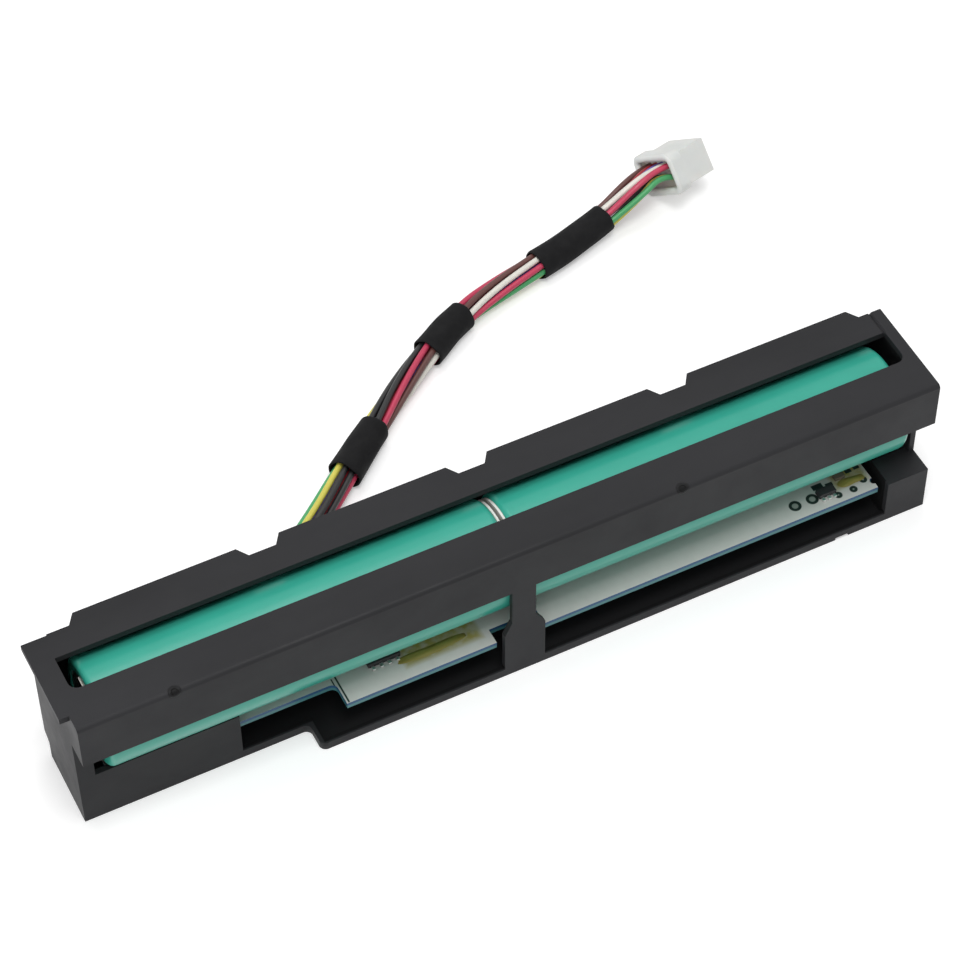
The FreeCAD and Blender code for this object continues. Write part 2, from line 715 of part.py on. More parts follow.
def end_strips():
    """The strips from the outer end of each stick down to the board."""
    low = "block_height"
    top = "axis_height + strip_reach"
    left = "(stick_left - strip)"
    body = strip_body("left_end_strip", [
        (left, low),
        (f"{left} + foot_run - strip", low),
        (f"{left} + foot_run - strip", BOARD_TOP),
        (f"{left} + foot_run", BOARD_TOP),
        (f"{left} + foot_run", f"{low} + strip"),
        (f"{left} + strip", f"{low} + strip"),
        (f"{left} + strip", top),
        (left, top),
    ])
    weld_spot(body, "stick_left", "film")
    right = f"({SECOND_STICK} + {STICK_LENGTH} + disc + strip)"
    body = strip_body("right_end_strip", [
        (right, low),
        (right, top),
        (f"{right} - strip", top),
        (f"{right} - strip", f"{low} + strip"),
        (f"{right} - foot_run", f"{low} + strip"),
        (f"{right} - foot_run", BOARD_TOP),
        (f"{right} - foot_run + strip", BOARD_TOP),
        (f"{right} - foot_run + strip", low),
    ])
    weld_spot(body, f"{right} - strip - disc - film", "disc + film")


def joint_link():
    """The folded strip between the two sticks."""
    left = f"(stick_left + {STICK_LENGTH} + disc)"
    right = f"({SECOND_STICK} - disc)"
    top = "(axis_height + link_leg / 2)"
    low = "(axis_height - link_leg / 2)"
    body = strip_body("joint_link", [
        (left, low),
        (f"{left} + strip", low),
        (f"{left} + strip", f"{top} - strip"),
        (f"{right} - strip", f"{top} - strip"),
        (f"{right} - strip", low),
        (right, low),
        (right, top),
        (left, top),
    ])
    weld_spot(body, f"{left} - disc - film", "disc + film")
    weld_spot(body, right, "disc + film")


def inner_link(label, stick):
    """The flat strip between the two cells of one stick."""
    body = new_body(label)
    sketch = side_sketch(body, f"{stick} + film + can_length + button_height")
    box_outline(sketch, "axis_back - strip_width / 2", "axis_back + strip_width / 2",
                "axis_height - link_leg / 2", "axis_height + link_leg / 2")
    pad(body, sketch, "strip")


def sticks():
    """Both sticks: film and two cells with a link between them.

    The film of the right stick also covers the ring on its plus end. The other two rings lie
    open between the sticks, one on each.
    """
    shrink_film("left_shrink_film", "stick_left", STICK_LENGTH)
    shrink_film("right_shrink_film", SECOND_STICK, f"({STICK_LENGTH} + disc)")
    insulating_ring("left_insulating_ring", f"stick_left + {STICK_LENGTH}", "disc_radius")
    insulating_ring("middle_insulating_ring", f"{SECOND_STICK} - disc", "disc_radius")
    insulating_ring("right_insulating_ring", f"{SECOND_STICK} + {STICK_LENGTH} - film",
                    "covered_disc_radius")
    for number, (side, stick) in enumerate((("left", "stick_left"), ("right", SECOND_STICK))):
        cell(f"cell_{2 * number + 1}", f"{stick} + film")
        cell(f"cell_{2 * number + 2}", f"{stick} + film + can_length + button_height + strip")
        inner_link(f"{side}_inner_link", stick)
    end_strips()
    joint_link()


def circuit_board():
    """The board: narrow at the left, notched round the post, drilled for the pins."""
    body = new_body("circuit_board")
    sketch = top_sketch(body, "board_height")
    outline(sketch, [
        ("board_left", "board_narrow"),
        ("board_step", "board_narrow"),
        ("board_step", "board_front"),
        ("foot_left - post_clearance", "board_front"),
        ("foot_left - post_clearance", "notch_back"),
        ("foot_right + post_clearance", "notch_back"),
        ("foot_right + post_clearance", "board_front"),
        ("board_right", "board_front"),
        ("board_right", "board_back"),
        ("board_left", "board_back"),
    ])
    pad(body, sketch, "board")
    fillet(body, "board_round", lambda edge: is_upright(edge)
           and lies_at(edge, "board_step", "board_narrow"))
    sketch = top_sketch(body, BOARD_TOP)
    for across, up in boss_places():
        circle(sketch, across, up, "pin_radius + pin_fit")
    circle(sketch, "board_right", "edge_nick_back", "edge_nick")
    pocket(body, sketch, "board")


def board_part(label, left, front, length, depth, height):
    """One plain component that stands on the board."""
    body = new_body(label)
    sketch = top_sketch(body, BOARD_TOP)
    box_outline(sketch, left, f"{left} + {length}", front, f"{front} + {depth}")
    pad(body, sketch, height)
    return body


def chip(label, left, front, length, depth, leads):
    """A chip on the board and its row of leads along the front edge."""
    body = board_part(label, left, front, length, depth, "chip_height")
    pitch = f"({length}) / {leads}"
    group = new_body(f"{label}_leads")
    group.AllowCompound = True
    sketch = top_sketch(group, BOARD_TOP)
    for number in range(leads):
        middle = f"{left} + {pitch} * ({number} + 0.5)"
        box_outline(sketch, f"{middle} - lead_width / 2", f"{middle} + lead_width / 2",
                    f"{front} - lead_reach", front)
    pad(group, sketch, "lead_height")
    return body


def glue_bead(label, middle, front, half_length):
    """A bead of glue on the board: half of a long drop, flat underneath."""
    drop = doc.addObject("Part::Ellipsoid", f"{label}_drop")
    bind(drop, "Radius1", "bead_height")
    bind(drop, "Radius2", half_length)
    bind(drop, "Radius3", "bead_depth")
    trim = doc.addObject("Part::Box", f"{label}_trim")
    bind(trim, "Length", f"2 * {half_length}")
    bind(trim, "Width", "2 * bead_depth")
    bind(trim, "Height", "bead_height")
    bind(trim, "Placement.Base.x", f"-{half_length}")
    bind(trim, "Placement.Base.y", "-bead_depth")
    bead = doc.addObject("Part::Common", label)
    bead.Label = label
    bead.Base, bead.Tool = drop, trim
    place(bead, middle, front, BOARD_TOP)
    return bead


def board_fittings():
    """What stands on the board: chips with their leads, small parts, glue and solder block."""
    chip("controller_chip", "chip_left", "chip_front", "chip_length", "chip_depth", 4)
    chip("regulator_chip", "regulator_left", "regulator_front", "regulator_length",
         "regulator_depth", 3)
    board_part("storage_capacitor", "capacitor_left", "capacitor_front", "capacitor_length",
               "capacitor_depth", "capacitor_height")
    glue_bead("left_glue_bead", "left_bead_place", "left_bead_front", "left_bead_reach")
    glue_bead("right_glue_bead", "board_right - right_bead_inset", "right_bead_front",
              "right_bead_reach")
    board_part("harness_solder_block", f"exit_place - {BUNDLE_RADIUS} - exit_margin", "solder_front",
               f"2 * ({BUNDLE_RADIUS} + exit_margin)", "wire_start - solder_front", "solder_height")


class Bend:
    """The tangent arc that rounds one point of a route, as large as its two runs allow."""

    SHARE_OF_RUN = 0.45

    def __init__(self, before, corner, after):
        arriving, leaving = corner - before, after - corner
        self.turn = arriving.getAngle(leaving)
        self.reach = self.SHARE_OF_RUN * min(arriving.Length, leaving.Length)
        self.radius = self.reach / math.tan(self.turn / 2)
        arriving.normalize()
        leaving.normalize()
        self.inwards = (leaving - arriving).normalize()
        self.tangent = (leaving + arriving).normalize()
        self.centre = corner + self.inwards * (self.radius / math.cos(self.turn / 2))

    def at(self, share):
        """A point of the arc, from -1 at its start to 1 at its end."""
        angle = share * self.turn / 2
        outwards = self.inwards * (-self.radius * math.cos(angle))
        return self.centre + outwards + self.tangent * (self.radius * math.sin(angle))


def route_edges(points, first, last):
    """Straight runs joined by tangent arcs, from the route's first to its last point given.

    Where that point is an end of the route, the path starts or stops there, and elsewhere
    in the middle of its arc.
    """
    end = len(points) - 1
    turns = {i: Bend(*points[i - 1:i + 2]) for i in range(max(first, 1), min(last, end - 1) + 1)}
    edges = []
    here = points[0] if first == 0 else turns[first].at(1)
    if first > 0:
        bend = turns[first]
        edges.append(Part.Arc(bend.at(0), bend.at(0.5), bend.at(1)).toShape())
    for index in range(first + 1, last + 1):
        bend = turns.get(index)
        there = bend.at(-1) if bend else points[end]
        edges.append(Part.LineSegment(here, there).toShape())
        if bend:
            stop = 1 if index < last else 0
            edges.append(Part.Arc(there, bend.at((stop - 1) / 2), bend.at(stop)).toShape())
            here = bend.at(stop)
    return edges


def tube(edges, radius):
    """A round bar along a path, checked against its section times its length."""
    start = edges[0].valueAt(edges[0].FirstParameter)
    direction = edges[0].tangentAt(edges[0].FirstParameter)
    ring = Part.Wire(Part.Circle(start, direction, radius).toShape())
    path = Part.Wire(edges)
    solid = path.makePipeShell([ring], True, False)
    wanted = math.pi * radius**2 * path.Length
    if abs(solid.Volume - wanted) > 0.005 * wanted:
        raise RuntimeError(f"a tube has {solid.Volume:.1f} in place of {wanted:.1f}")
    return solid


def shaped(label, solid):
    """A piece whose shape is worked out here from the sheet's values."""
    piece = doc.addObject("Part::Feature", label)
    piece.Label = label
    piece.Shape = solid
    place(piece)
    return piece


def bundle_places():
    """Places of the ten wires in the bundle's section: two in the middle, eight round them."""
    pitch = value("wire + wire_gap")
    ring_radius = value(RING_RADIUS)
    inner = [(-pitch / 2, 0), (pitch / 2, 0)]
    ring = [
        (ring_radius * math.cos(turn), ring_radius * math.sin(turn))
        for turn in (math.pi * (1 / 8 + step / 4) for step in range(8))
    ]
    return inner + ring


def connector_placement():
    """Where the connector lies: rolled onto its lower corner, its collar on the surface too."""
    roll, heading = value("plug_roll"), value("plug_heading")
    sine, cosine = math.sin(math.radians(roll)), math.cos(math.radians(roll))
    half_width, half_thickness = value("plug_width / 2"), value("plug_thickness / 2")
    spread = value("plug_lip - plug_corner")
    corner_drop = half_width * sine + half_thickness * cosine
    collar_drop = (half_width + spread) * sine + (half_thickness + spread) * cosine
    collar_drop += value("plug_corner")
    tilt = math.atan2(collar_drop - corner_drop, value("plug_length - plug_collar"))
    rotation = Rotation(heading, math.degrees(tilt), -roll)
    along = rotation.multVec(Vector(value("plug_length"), 0, 0))
    mouth = Vector(value("plug_mouth_along"), value("plug_mouth_back"), corner_drop * math.cos(tilt))
    return Placement(mouth - along, rotation)


# The harness's way from the exit to the connector: shares of it along the carrier and back
# from it, and of the height that the nearer end has above the lying part
ROUTE_SHARES = [
    (0, 0.109, 1),
    (0, 0.211, 0.316),
    (0.047, 0.288, 0),
    (0.132, 0.381, 0),
    (0.208, 0.473, 0),
    (0.311, 0.591, 0),
    (0.387, 0.674, 0),
    (0.472, 0.76, 0),
    (0.577, 0.847, 0),
    (0.668, 0.883, 0),
    (0.758, 0.913, 0),
    (0.845, 0.946, 0),
    (0.928, 0.982, 0.133),
]


def harness_route():
    """The middle of the bundle, from the board's back edge to the connector."""
    start = Vector(value("exit_place"), value("wire_start"), value("exit_height"))
    end = connector_placement().multVec(Vector(-value("plug_spread"), 0, 0))
    lying = value(f"{BUNDLE_RADIUS} + sleeve_gap + sleeve")
    points = [start]
    for along, back, lift in ROUTE_SHARES:
        nearer = start if along < 0.5 else end
        reached = Vector(along * (end.x - start.x), back * (end.y - start.y), 0)
        points.append(Vector(start.x, start.y, lying + lift * (nearer.z - lying)) + reached)
    return points + [end]


# Degrees that the bundle has turned about its middle at each point of the route
BUNDLE_TWIST = [0, 0, 0, 0, 0, 12, 50, 88, 115, 145, 180, 195, 205, 215, 225]
# The sleeves' first and last points on the route
SLEEVES = {"first_harness_sleeve": (5, 6), "middle_harness_sleeve": (8, 9), "last_harness_sleeve": (11, 13)}
INNER_WIRES = ["violet_wire", "red_wire"]
# From the bundle's right side anticlockwise, seen along the harness
RING_WIRES = ["second_black_wire", "first_black_wire", "yellow_wire", "green_wire",
              "second_crimson_wire", "white_wire", "brown_wire", "first_crimson_wire"]
# The wires in the connector's two rows, from its low side to its high side
UPPER_ROW = ["brown_wire", "red_wire", "violet_wire", "white_wire", "second_crimson_wire"]
LOWER_ROW = ["first_crimson_wire", "second_black_wire", "first_black_wire", "yellow_wire", "green_wire"]


def wire_route(centre, across, up):
    """One wire's points in the bundle: its place in the section, carried along the middle."""
    points = []
    for index, point in enumerate(centre):
        arriving = (point - centre[index - 1]).normalize() if index else None
        leaving = (centre[index + 1] - point).normalize() if index + 1 < len(centre) else None
        arriving, leaving = arriving or leaving, leaving or arriving
        forwards = (arriving + leaving).normalize()
        right = forwards.cross(Vector(0, 0, 1)).normalize()
        above = right.cross(forwards)
        twist = math.radians(BUNDLE_TWIST[index])
        sideways = across * math.cos(twist) - up * math.sin(twist)
        upwards = across * math.sin(twist) + up * math.cos(twist)
        offset = right * sideways + above * upwards
        bending = leaving - arriving
        if bending.Length > 1e-6:
            bending.normalize()
            half_turn = arriving.getAngle(leaving) / 2
            offset = offset + bending * (offset.dot(bending) * (1 / math.cos(half_turn) - 1))
        points.append(point + offset)
    return points


def spread_to_connector(points, label):
    """Leads a wire from the bundle into its own place in the connector's hollow."""
    row = UPPER_ROW if label in UPPER_ROW else LOWER_ROW
    across = (2 - row.index(label)) * value("cavity_pitch")
    up = (1 if row is UPPER_ROW else -1) * value("cavity_rows / 2")
    plug = connector_placement()
    behind, before, inside = (
        plug.multVec(Vector(along, across, up))
        for along in (-value("plug_spread"), -value("plug_entry"), value("wire_hollow"))
    )
    return points[:-1] + [(points[-1] + behind) * 0.5, before, inside]


def harness():
    """Ten wires side by side, and the three sleeves that hold them together."""
    centre = harness_route()
    for label, (across, up) in zip(INNER_WIRES + RING_WIRES, bundle_places()):
        points = spread_to_connector(wire_route(centre, across, up), label)
        last = len(points) - 1
        smallest = min(Bend(*points[i - 1:i + 2]).radius for i in range(1, last))
        path = route_edges(points, 0, last)
        print(f"{label}: smallest bend radius {smallest:.1f}, length {Part.Wire(path).Length:.1f}")
        shaped(label, tube(path, value("wire / 2")))
    for label, (first, final) in SLEEVES.items():
        edges = route_edges(centre, first, final)
        outer = tube(edges, value(f"{BUNDLE_RADIUS} + sleeve_gap + sleeve"))
        shaped(label, outer.cut(tube(edges, value(f"{BUNDLE_RADIUS} + sleeve_gap"))))


def connector():
    """The housing with its collar and ten cavities, and the contacts inside."""
    placement = connector_placement()
    housing = doc.addObject("PartDesign::Body", "connector_housing")
    housing.Label = "connector_housing"
    sketch = side_sketch(housing, "0")
    box_outline(sketch, "-plug_width / 2", "plug_width / 2", "-plug_thickness / 2", "plug_thickness / 2")
    pad(housing, sketch, "plug_length")
    sketch = side_sketch(housing, "0")
    box_outline(sketch, "-plug_width / 2 - plug_lip", "plug_width / 2 + plug_lip",
                "-plug_thickness / 2 - plug_lip", "plug_thickness / 2 + plug_lip")
    pad(housing, sketch, "plug_collar")
    corner = value("plug_width / 2 + plug_lip")
    fillet(housing, "plug_corner", lambda edge: all(
        abs(abs(vertex.Point.y) - corner) < 1e-4 for vertex in edge.Vertexes)
        and abs(edge.Vertexes[-1].Point.x - edge.Vertexes[0].Point.x) > 1e-4)
    half_width = "(plug_width / 2 + plug_lip - hollow_wall)"
    half_height = "(plug_thickness / 2 + plug_lip - hollow_wall)"
    sketch = side_sketch(housing, "0")
    box_outline(sketch, f"-{half_width}", half_width, f"-{half_height}", half_height)
    pocket(housing, sketch, "wire_hollow", backwards=True)
    contacts = doc.addObject("PartDesign::Body", "connector_contacts")
    contacts.Label = "connector_contacts"
    contacts.AllowCompound = True
    mouth = side_sketch(housing, "plug_length")
    floor = side_sketch(contacts, "plug_length - cavity_depth")
    for column in range(-2, 3):
        for row in (-1, 1):
            across, up = f"{column} * cavity_pitch", f"{row} * cavity_rows / 2"
            for sketch, side in ((mouth, "cavity"), (floor, "contact")):
                box_outline(sketch, f"{across} - {side} / 2", f"{across} + {side} / 2",
                            f"{up} - {side} / 2", f"{up} + {side} / 2")
    pocket(housing, mouth, "cavity_depth")
    pad(contacts, floor, "contact_length")
    for piece in (housing, contacts):
        piece.Placement = placement
        place(piece, placement.Base.x, placement.Base.y, placement.Base.z)


for build_step in (carrier, sticks, circuit_board, board_fittings, harness, connector):
    build_step()
doc.recompute()

os.makedirs("parts", exist_ok=True)
for item in doc.Objects:
    if "Invalid" in item.State or "Error" in item.State:
        raise RuntimeError(f"{item.Name} ({item.Label}) failed: {item.State}")
PIECE_KINDS = ("PartDesign::Body", "Part::Common", "Part::Feature")
pieces = [item for item in doc.Objects if item.TypeId in PIECE_KINDS]
for piece in pieces:
    if piece.Shape.isNull() or not piece.Shape.isValid():
        raise RuntimeError(f"{piece.Label} has no valid shape")
for piece in pieces:
    piece.Shape.exportStep(f"parts/{piece.Label}.step")
    print(piece.Label, len(piece.Shape.Solids), round(piece.Shape.Volume, 1))
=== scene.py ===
"""The look of a disk controller's battery module: materials, wires, sleeves and light.

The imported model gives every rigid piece. This file adds what solids can't show and gives
each piece its finish. Lengths are in metres, except where a comment gives millimetres,
and colours are linear. The origin is at the middle of the carrier's footprint, on the
surface that it stands on.
"""
import math

import bpy
import numpy as np
from bpy.props import FloatProperty, FloatVectorProperty, PointerProperty
from mathutils import Matrix, Vector


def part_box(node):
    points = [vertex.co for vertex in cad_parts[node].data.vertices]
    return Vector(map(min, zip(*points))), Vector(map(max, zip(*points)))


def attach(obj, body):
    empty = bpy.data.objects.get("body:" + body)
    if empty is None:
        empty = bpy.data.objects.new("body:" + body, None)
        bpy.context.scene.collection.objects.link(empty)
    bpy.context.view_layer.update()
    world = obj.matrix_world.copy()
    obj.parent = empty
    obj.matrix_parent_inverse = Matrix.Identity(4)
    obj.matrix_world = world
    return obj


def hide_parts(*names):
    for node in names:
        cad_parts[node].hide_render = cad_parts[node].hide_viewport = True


bl_info = {
    "name": "Battery module",
    "version": (1, 0, 0),
    "blender": (4, 5, 0),
    "location": "View3D > Sidebar > Battery module",
    "description": "Builds the look of a server's battery module with its wire harness",
    "category": "Object",
}

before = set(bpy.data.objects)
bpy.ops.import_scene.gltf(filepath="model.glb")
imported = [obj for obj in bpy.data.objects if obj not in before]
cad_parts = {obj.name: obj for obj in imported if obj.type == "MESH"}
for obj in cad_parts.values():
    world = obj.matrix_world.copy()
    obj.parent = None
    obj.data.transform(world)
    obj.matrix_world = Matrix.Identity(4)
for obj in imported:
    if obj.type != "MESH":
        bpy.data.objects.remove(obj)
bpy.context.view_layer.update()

MM = 0.001
# The carrier's left front lower corner, from the origin
CORNER = np.array([-97.5, -13.45, 0.0]) * MM

# In the tables up to the camera's, places are along, back and up from the carrier's corner,
# in millimetres.

# The two round scars of moulding on the carrier's top front edge
SPRUE_MARKS = ((22.5, 0.35, 38.7), (134.2, 0.35, 38.7))
# A scar's dark middle, and the low rim round it
SCAR_RADIUS = 0.75 * MM
SCAR_RIM_RADIUS = 0.95 * MM
# Left front lower and right back upper corners of the boxes inside the carrier where painted shade makes
# the plastic near black and duller
PAINTED_SHADE_BOXES = (
    ((2.9, 7.6, 6.6), (193.5, 24.9, 37.3)),
    ((2.9, 7.6, 1.25), (193.5, 22.8, 6.6)),
    ((52.8, 1.4, 1.25), (185.2, 7.6, 26.9)),
    ((52.8, 0.5, 1.9), (185.2, 1.4, 2.6)),
    ((37.5, 6.5, 1.9), (52.8, 7.6, 2.6)),
)
# The board's upper face, and the heights between which marks on it are found
BOARD_FACE = 9.8
FACE_HEIGHTS = (9.5, 10)
# Heights between which the board's side turns from laminate to the dark copper line
COPPER_LINE = (8.95 * MM, 9.1 * MM)
# Along, back and radius of the round test places on the board
TEST_RINGS = (
    (165.6, 5.5, 1.05),
    (169.8, 5.5, 1.05),
    (175.35, 3.95, 0.55),
    (179.05, 3.9, 0.55),
    (182.2, 5.25, 0.55),
)
TEST_RING_WIDTH = 0.55 * MM
# How many times wider than its bead each patch of glue is, along and back
GLUE_STRETCH = {"left": (1.3, 1.35), "right": (1.2, 1.3)}
# Left front and right back corners of the places that the glue has stained
STAINS = (((74.6, 5.6), (90.0, 9.6)), ((176.8, 6.2), (182.5, 9.4)))
# Left front and right back corners of dark strips on the board: two thin lines at the step, two painted
# shadows along the film's lower edge, and small dark patches near the chips
DARK_LINES_AND_PAINTED_SHADOWS = (
    ((59.2, 2.2), (59.5, 12.0)),
    ((58.3, 3.0), (58.5, 9.0)),
    ((9.5, 9.4), (57.5, 9.65)),
    ((171.2, 7.3), (173.6, 8.6)),
    ((174.2, 7.0), (175.8, 7.8)),
    ((179.8, 8.3), (181.2, 9.5)),
    ((181.9, 8.5), (183.2, 9.3)),
    ((176.0, 9.5), (183.8, 10.6)),
)

# The camera at the photograph's angle, in metres
CAMERA_PLACE = (-0.18669, -0.37518, 0.55681)
CAMERA_RIGHT = (0.89377597, -0.44845662, -0.00715415)
CAMERA_FORWARD = (0.27999491, 0.57034993, -0.7722071)
# Each lamp's place and edge, and the place that all of them face, in metres
LAMPS = {
    "left_lamp": ((-1.0, -0.1, 0.5), 0.6),
    "front_lamp": ((-0.02, -0.28, 1.15), 0.4),
    "top_lamp": ((0.05, 0.32, 1.1), 0.5),
    "fill_lamp": ((-0.3, -0.6, 0.95), 0.6),
}
LIT_PLACE = (0, 0.02, 0.02)
# The floor's half edge in metres, how far it lies below the object, and its glow for the camera
FLOOR_REACH = 4.0
FLOOR_DROP = 0.05 * MM
FLOOR_GLOW = 0.32


def shade(red, green, blue):
    """A linear colour from three numbers of 0 to 255, by the usual display curve."""
    share = np.array([red, green, blue]) / 255
    return tuple(np.where(share <= 0.04045, share / 12.92, ((share + 0.055) / 1.055) ** 2.4))


def from_corner(points):
    """Points in millimetres from the carrier's left front lower corner, in metres from the origin."""
    return np.asarray(points, float) * MM + CORNER


def length_property(name, description, default):
    """A length in metres."""
    return FloatProperty(name=name, description=description, default=default, unit="LENGTH",
                         precision=5, min=0)


def power_property(name, description, default):
    """A lamp's power in watts."""
    return FloatProperty(name=name, description=description, default=default, unit="POWER", min=0)


def colour_property(name, description, red, green, blue):
    """A colour, given here as it shows on a display."""
    return FloatVectorProperty(name=name, description=description, subtype="COLOR", size=3,
                               min=0, max=1, default=shade(red, green, blue))


class HarnessSettings(bpy.types.PropertyGroup):
    """Sizes of the wires and their sleeves."""

    wire: length_property("Wire", "Outer diameter of a wire", 1.4 * MM)
    gap: length_property("Gap", "Air between two wires", 0.15 * MM)
    sleeve_wall: length_property("Sleeve wall", "Wall of a sleeve", 0.4 * MM)


class ColourSettings(bpy.types.PropertyGroup):
    """Colours of the pieces."""

    plastic: colour_property("Carrier", "Black moulded plastic", 42, 42, 44)
    film: colour_property("Shrink film", "Film over the cells", 54, 163, 143)
    board: colour_property("Circuit board", "Solder mask on the board", 207, 204, 201)
    connector: colour_property("Connector", "White nylon", 226, 226, 222)
    glue: colour_property("Glue", "Hot glue on the board", 160, 144, 70)
    crimson: colour_property("Crimson wire", "Insulation", 190, 58, 88)
    yellow: colour_property("Yellow wire", "Insulation", 214, 205, 90)
    green: colour_property("Green wire", "Insulation", 70, 158, 98)
    brown: colour_property("Brown wire", "Insulation", 92, 56, 52)
    white: colour_property("White wire", "Insulation", 224, 221, 212)
    black: colour_property("Black wire", "Insulation", 26, 26, 27)
    violet: colour_property("Violet wire", "Insulation", 102, 92, 168)
    red: colour_property("Red wire", "Insulation", 150, 30, 42)


class StageSettings(bpy.types.PropertyGroup):
    """Camera, lamps and background."""

    lens: FloatProperty(name="Lens", description="Focal length for a 36 mm sensor",
                        default=124.11, min=1, subtype="DISTANCE_CAMERA")
    left_lamp: power_property("Left lamp", "Power of the lamp at the left", 2.9)
    front_lamp: power_property("Front lamp", "Power of the lamp high in front", 5.6)
    top_lamp: power_property("Top lamp", "Power of the lamp overhead", 2.8)
    fill_lamp: power_property("Fill lamp", "Power of the lamp above the camera", 1.8)
    surroundings: FloatProperty(name="Surroundings", description="Brightness of the room",
                                default=0.3, min=0)


def settings(group):
    """One of the groups of settings."""
    return getattr(bpy.context.scene, f"battery_{group}")


# Materials


class Finish:
    """A material under construction: one Principled shader and the nodes that feed it."""

    def __init__(self, name, colour, roughness, sockets=()):
        self.material = bpy.data.materials.new(name)
        self.material.use_nodes = True
        self.tree = self.material.node_tree
        self.shader = self.tree.nodes["Principled BSDF"]
        self.place = self.add("ShaderNodeTexCoord").outputs["Object"]
        self.set("Base Color", (*colour, 1))
        self.set("Roughness", roughness)
        for socket, number in dict(sockets).items():
            self.set(socket, number)

    def set(self, socket, number):
        """Gives a socket of the shader a number, a colour or another node's output."""
        target = self.shader.inputs[socket]
        if isinstance(number, bpy.types.NodeSocket):
            self.tree.links.new(number, target)
        else:
            target.default_value = number

    def add(self, kind, options=(), **inputs):
        """A node of that kind. Inputs are numbers or other nodes' outputs, by socket name."""
        node = self.tree.nodes.new(kind)
        for option, choice in dict(options).items():
            setattr(node, option, choice)
        for socket, number in inputs.items():
            target = node.inputs[int(socket[1:])] if socket[1:].isdigit() else node.inputs[socket]
            if isinstance(number, bpy.types.NodeSocket):
                self.tree.links.new(number, target)
            else:
                target.default_value = number
        return node

    def noise(self, scale, detail=3.0, roughness=0.5, place=None):
        """Smooth noise from 0 to 1, with that many swells to a metre."""
        node = self.add("ShaderNodeTexNoise", Vector=place or self.place, Scale=scale,
                        Detail=detail, Roughness=roughness)
        return node.outputs["Fac"]

    def stretched(self, scale):
        """The place on the object, stretched by that much along each axis."""
        return self.add("ShaderNodeMapping", Vector=self.place, Scale=scale).outputs["Vector"]

    def ramp(self, factor, low, high, start, end):
        """A number that goes from start to end while factor goes from low to high."""
        node = self.add("ShaderNodeMapRange", {"clamp": True}, Value=factor)
        for index, number in enumerate((low, high, start, end), start=1):
            node.inputs[index].default_value = number
        return node.outputs["Result"]

    def blend(self, factor, first, second):
        """The first colour where factor is 0, and the second where it is 1."""
        node = self.add("ShaderNodeMix", {"data_type": "RGBA"})
        for socket, colour in ((0, factor), (6, first), (7, second)):
            target = node.inputs[socket]
            if isinstance(colour, bpy.types.NodeSocket):
                self.tree.links.new(colour, target)
            else:
                target.default_value = (*colour, 1) if socket else colour
        return node.outputs[2]

    def smallest(self, *numbers):
        """The smallest of some numbers."""
        found = numbers[0]
        for number in numbers[1:]:
            node = self.add("ShaderNodeMath", {"operation": "MINIMUM"}, _0=found, _1=number)
            found = node.outputs[0]
        return found

    def largest(self, *numbers):
        """The largest of some numbers."""
        found = numbers[0]
        for number in numbers[1:]:
            node = self.add("ShaderNodeMath", {"operation": "MAXIMUM"}, _0=found, _1=number)
            found = node.outputs[0]
        return found

    def inside(self, low, high, soft):
        """1 inside a box and 0 outside it, fading over the width soft."""
        at = self.add("ShaderNodeSeparateXYZ", Vector=self.place)
        sides = []
        for axis, start, end in zip("XYZ", low, high):
            sides.append(self.ramp(at.outputs[axis], start - soft, start, 0, 1))
            sides.append(self.ramp(at.outputs[axis], end, end + soft, 1, 0))
        return self.smallest(*sides)

    def away(self, point):
        """The distance from a point."""
        node = self.add("ShaderNodeVectorMath", {"operation": "DISTANCE"},
                        _0=self.place, _1=tuple(point))
        return node.outputs["Value"]

    def spot(self, point, radius, soft=0.15 * MM):
        """1 within the radius of a point, fading to 0 over the width soft."""
        return self.ramp(self.away(point), radius, radius + soft, 1, 0)

    def ring(self, point, radius, width):
        """1 on a ring round a point, as wide as given, and 0 elsewhere."""
        outer = self.spot(point, radius + width / 2, width / 4)
        inner = self.ramp(self.away(point), radius - width * 0.75, radius - width / 2, 0, 1)
        return self.smallest(outer, inner)

    def bump(self, height, depth, strength=1.0, normal=None):
        """A normal that follows a height from 0 to 1, with depth in metres."""
        node = self.add("ShaderNodeBump", Height=height, Distance=depth, Strength=strength)
        if normal is not None:
            self.tree.links.new(normal, node.inputs["Normal"])
        return node.outputs["Normal"]

    def vary(self, factor, colour, spread):
        """Sets the base colour between two shades of one colour, spread apart."""
        low = tuple(np.clip(np.array(colour) * (1 - spread), 0, 1))
        high = tuple(np.clip(np.array(colour) * (1 + spread), 0, 1))
        self.set("Base Color", self.blend(factor, low, high))


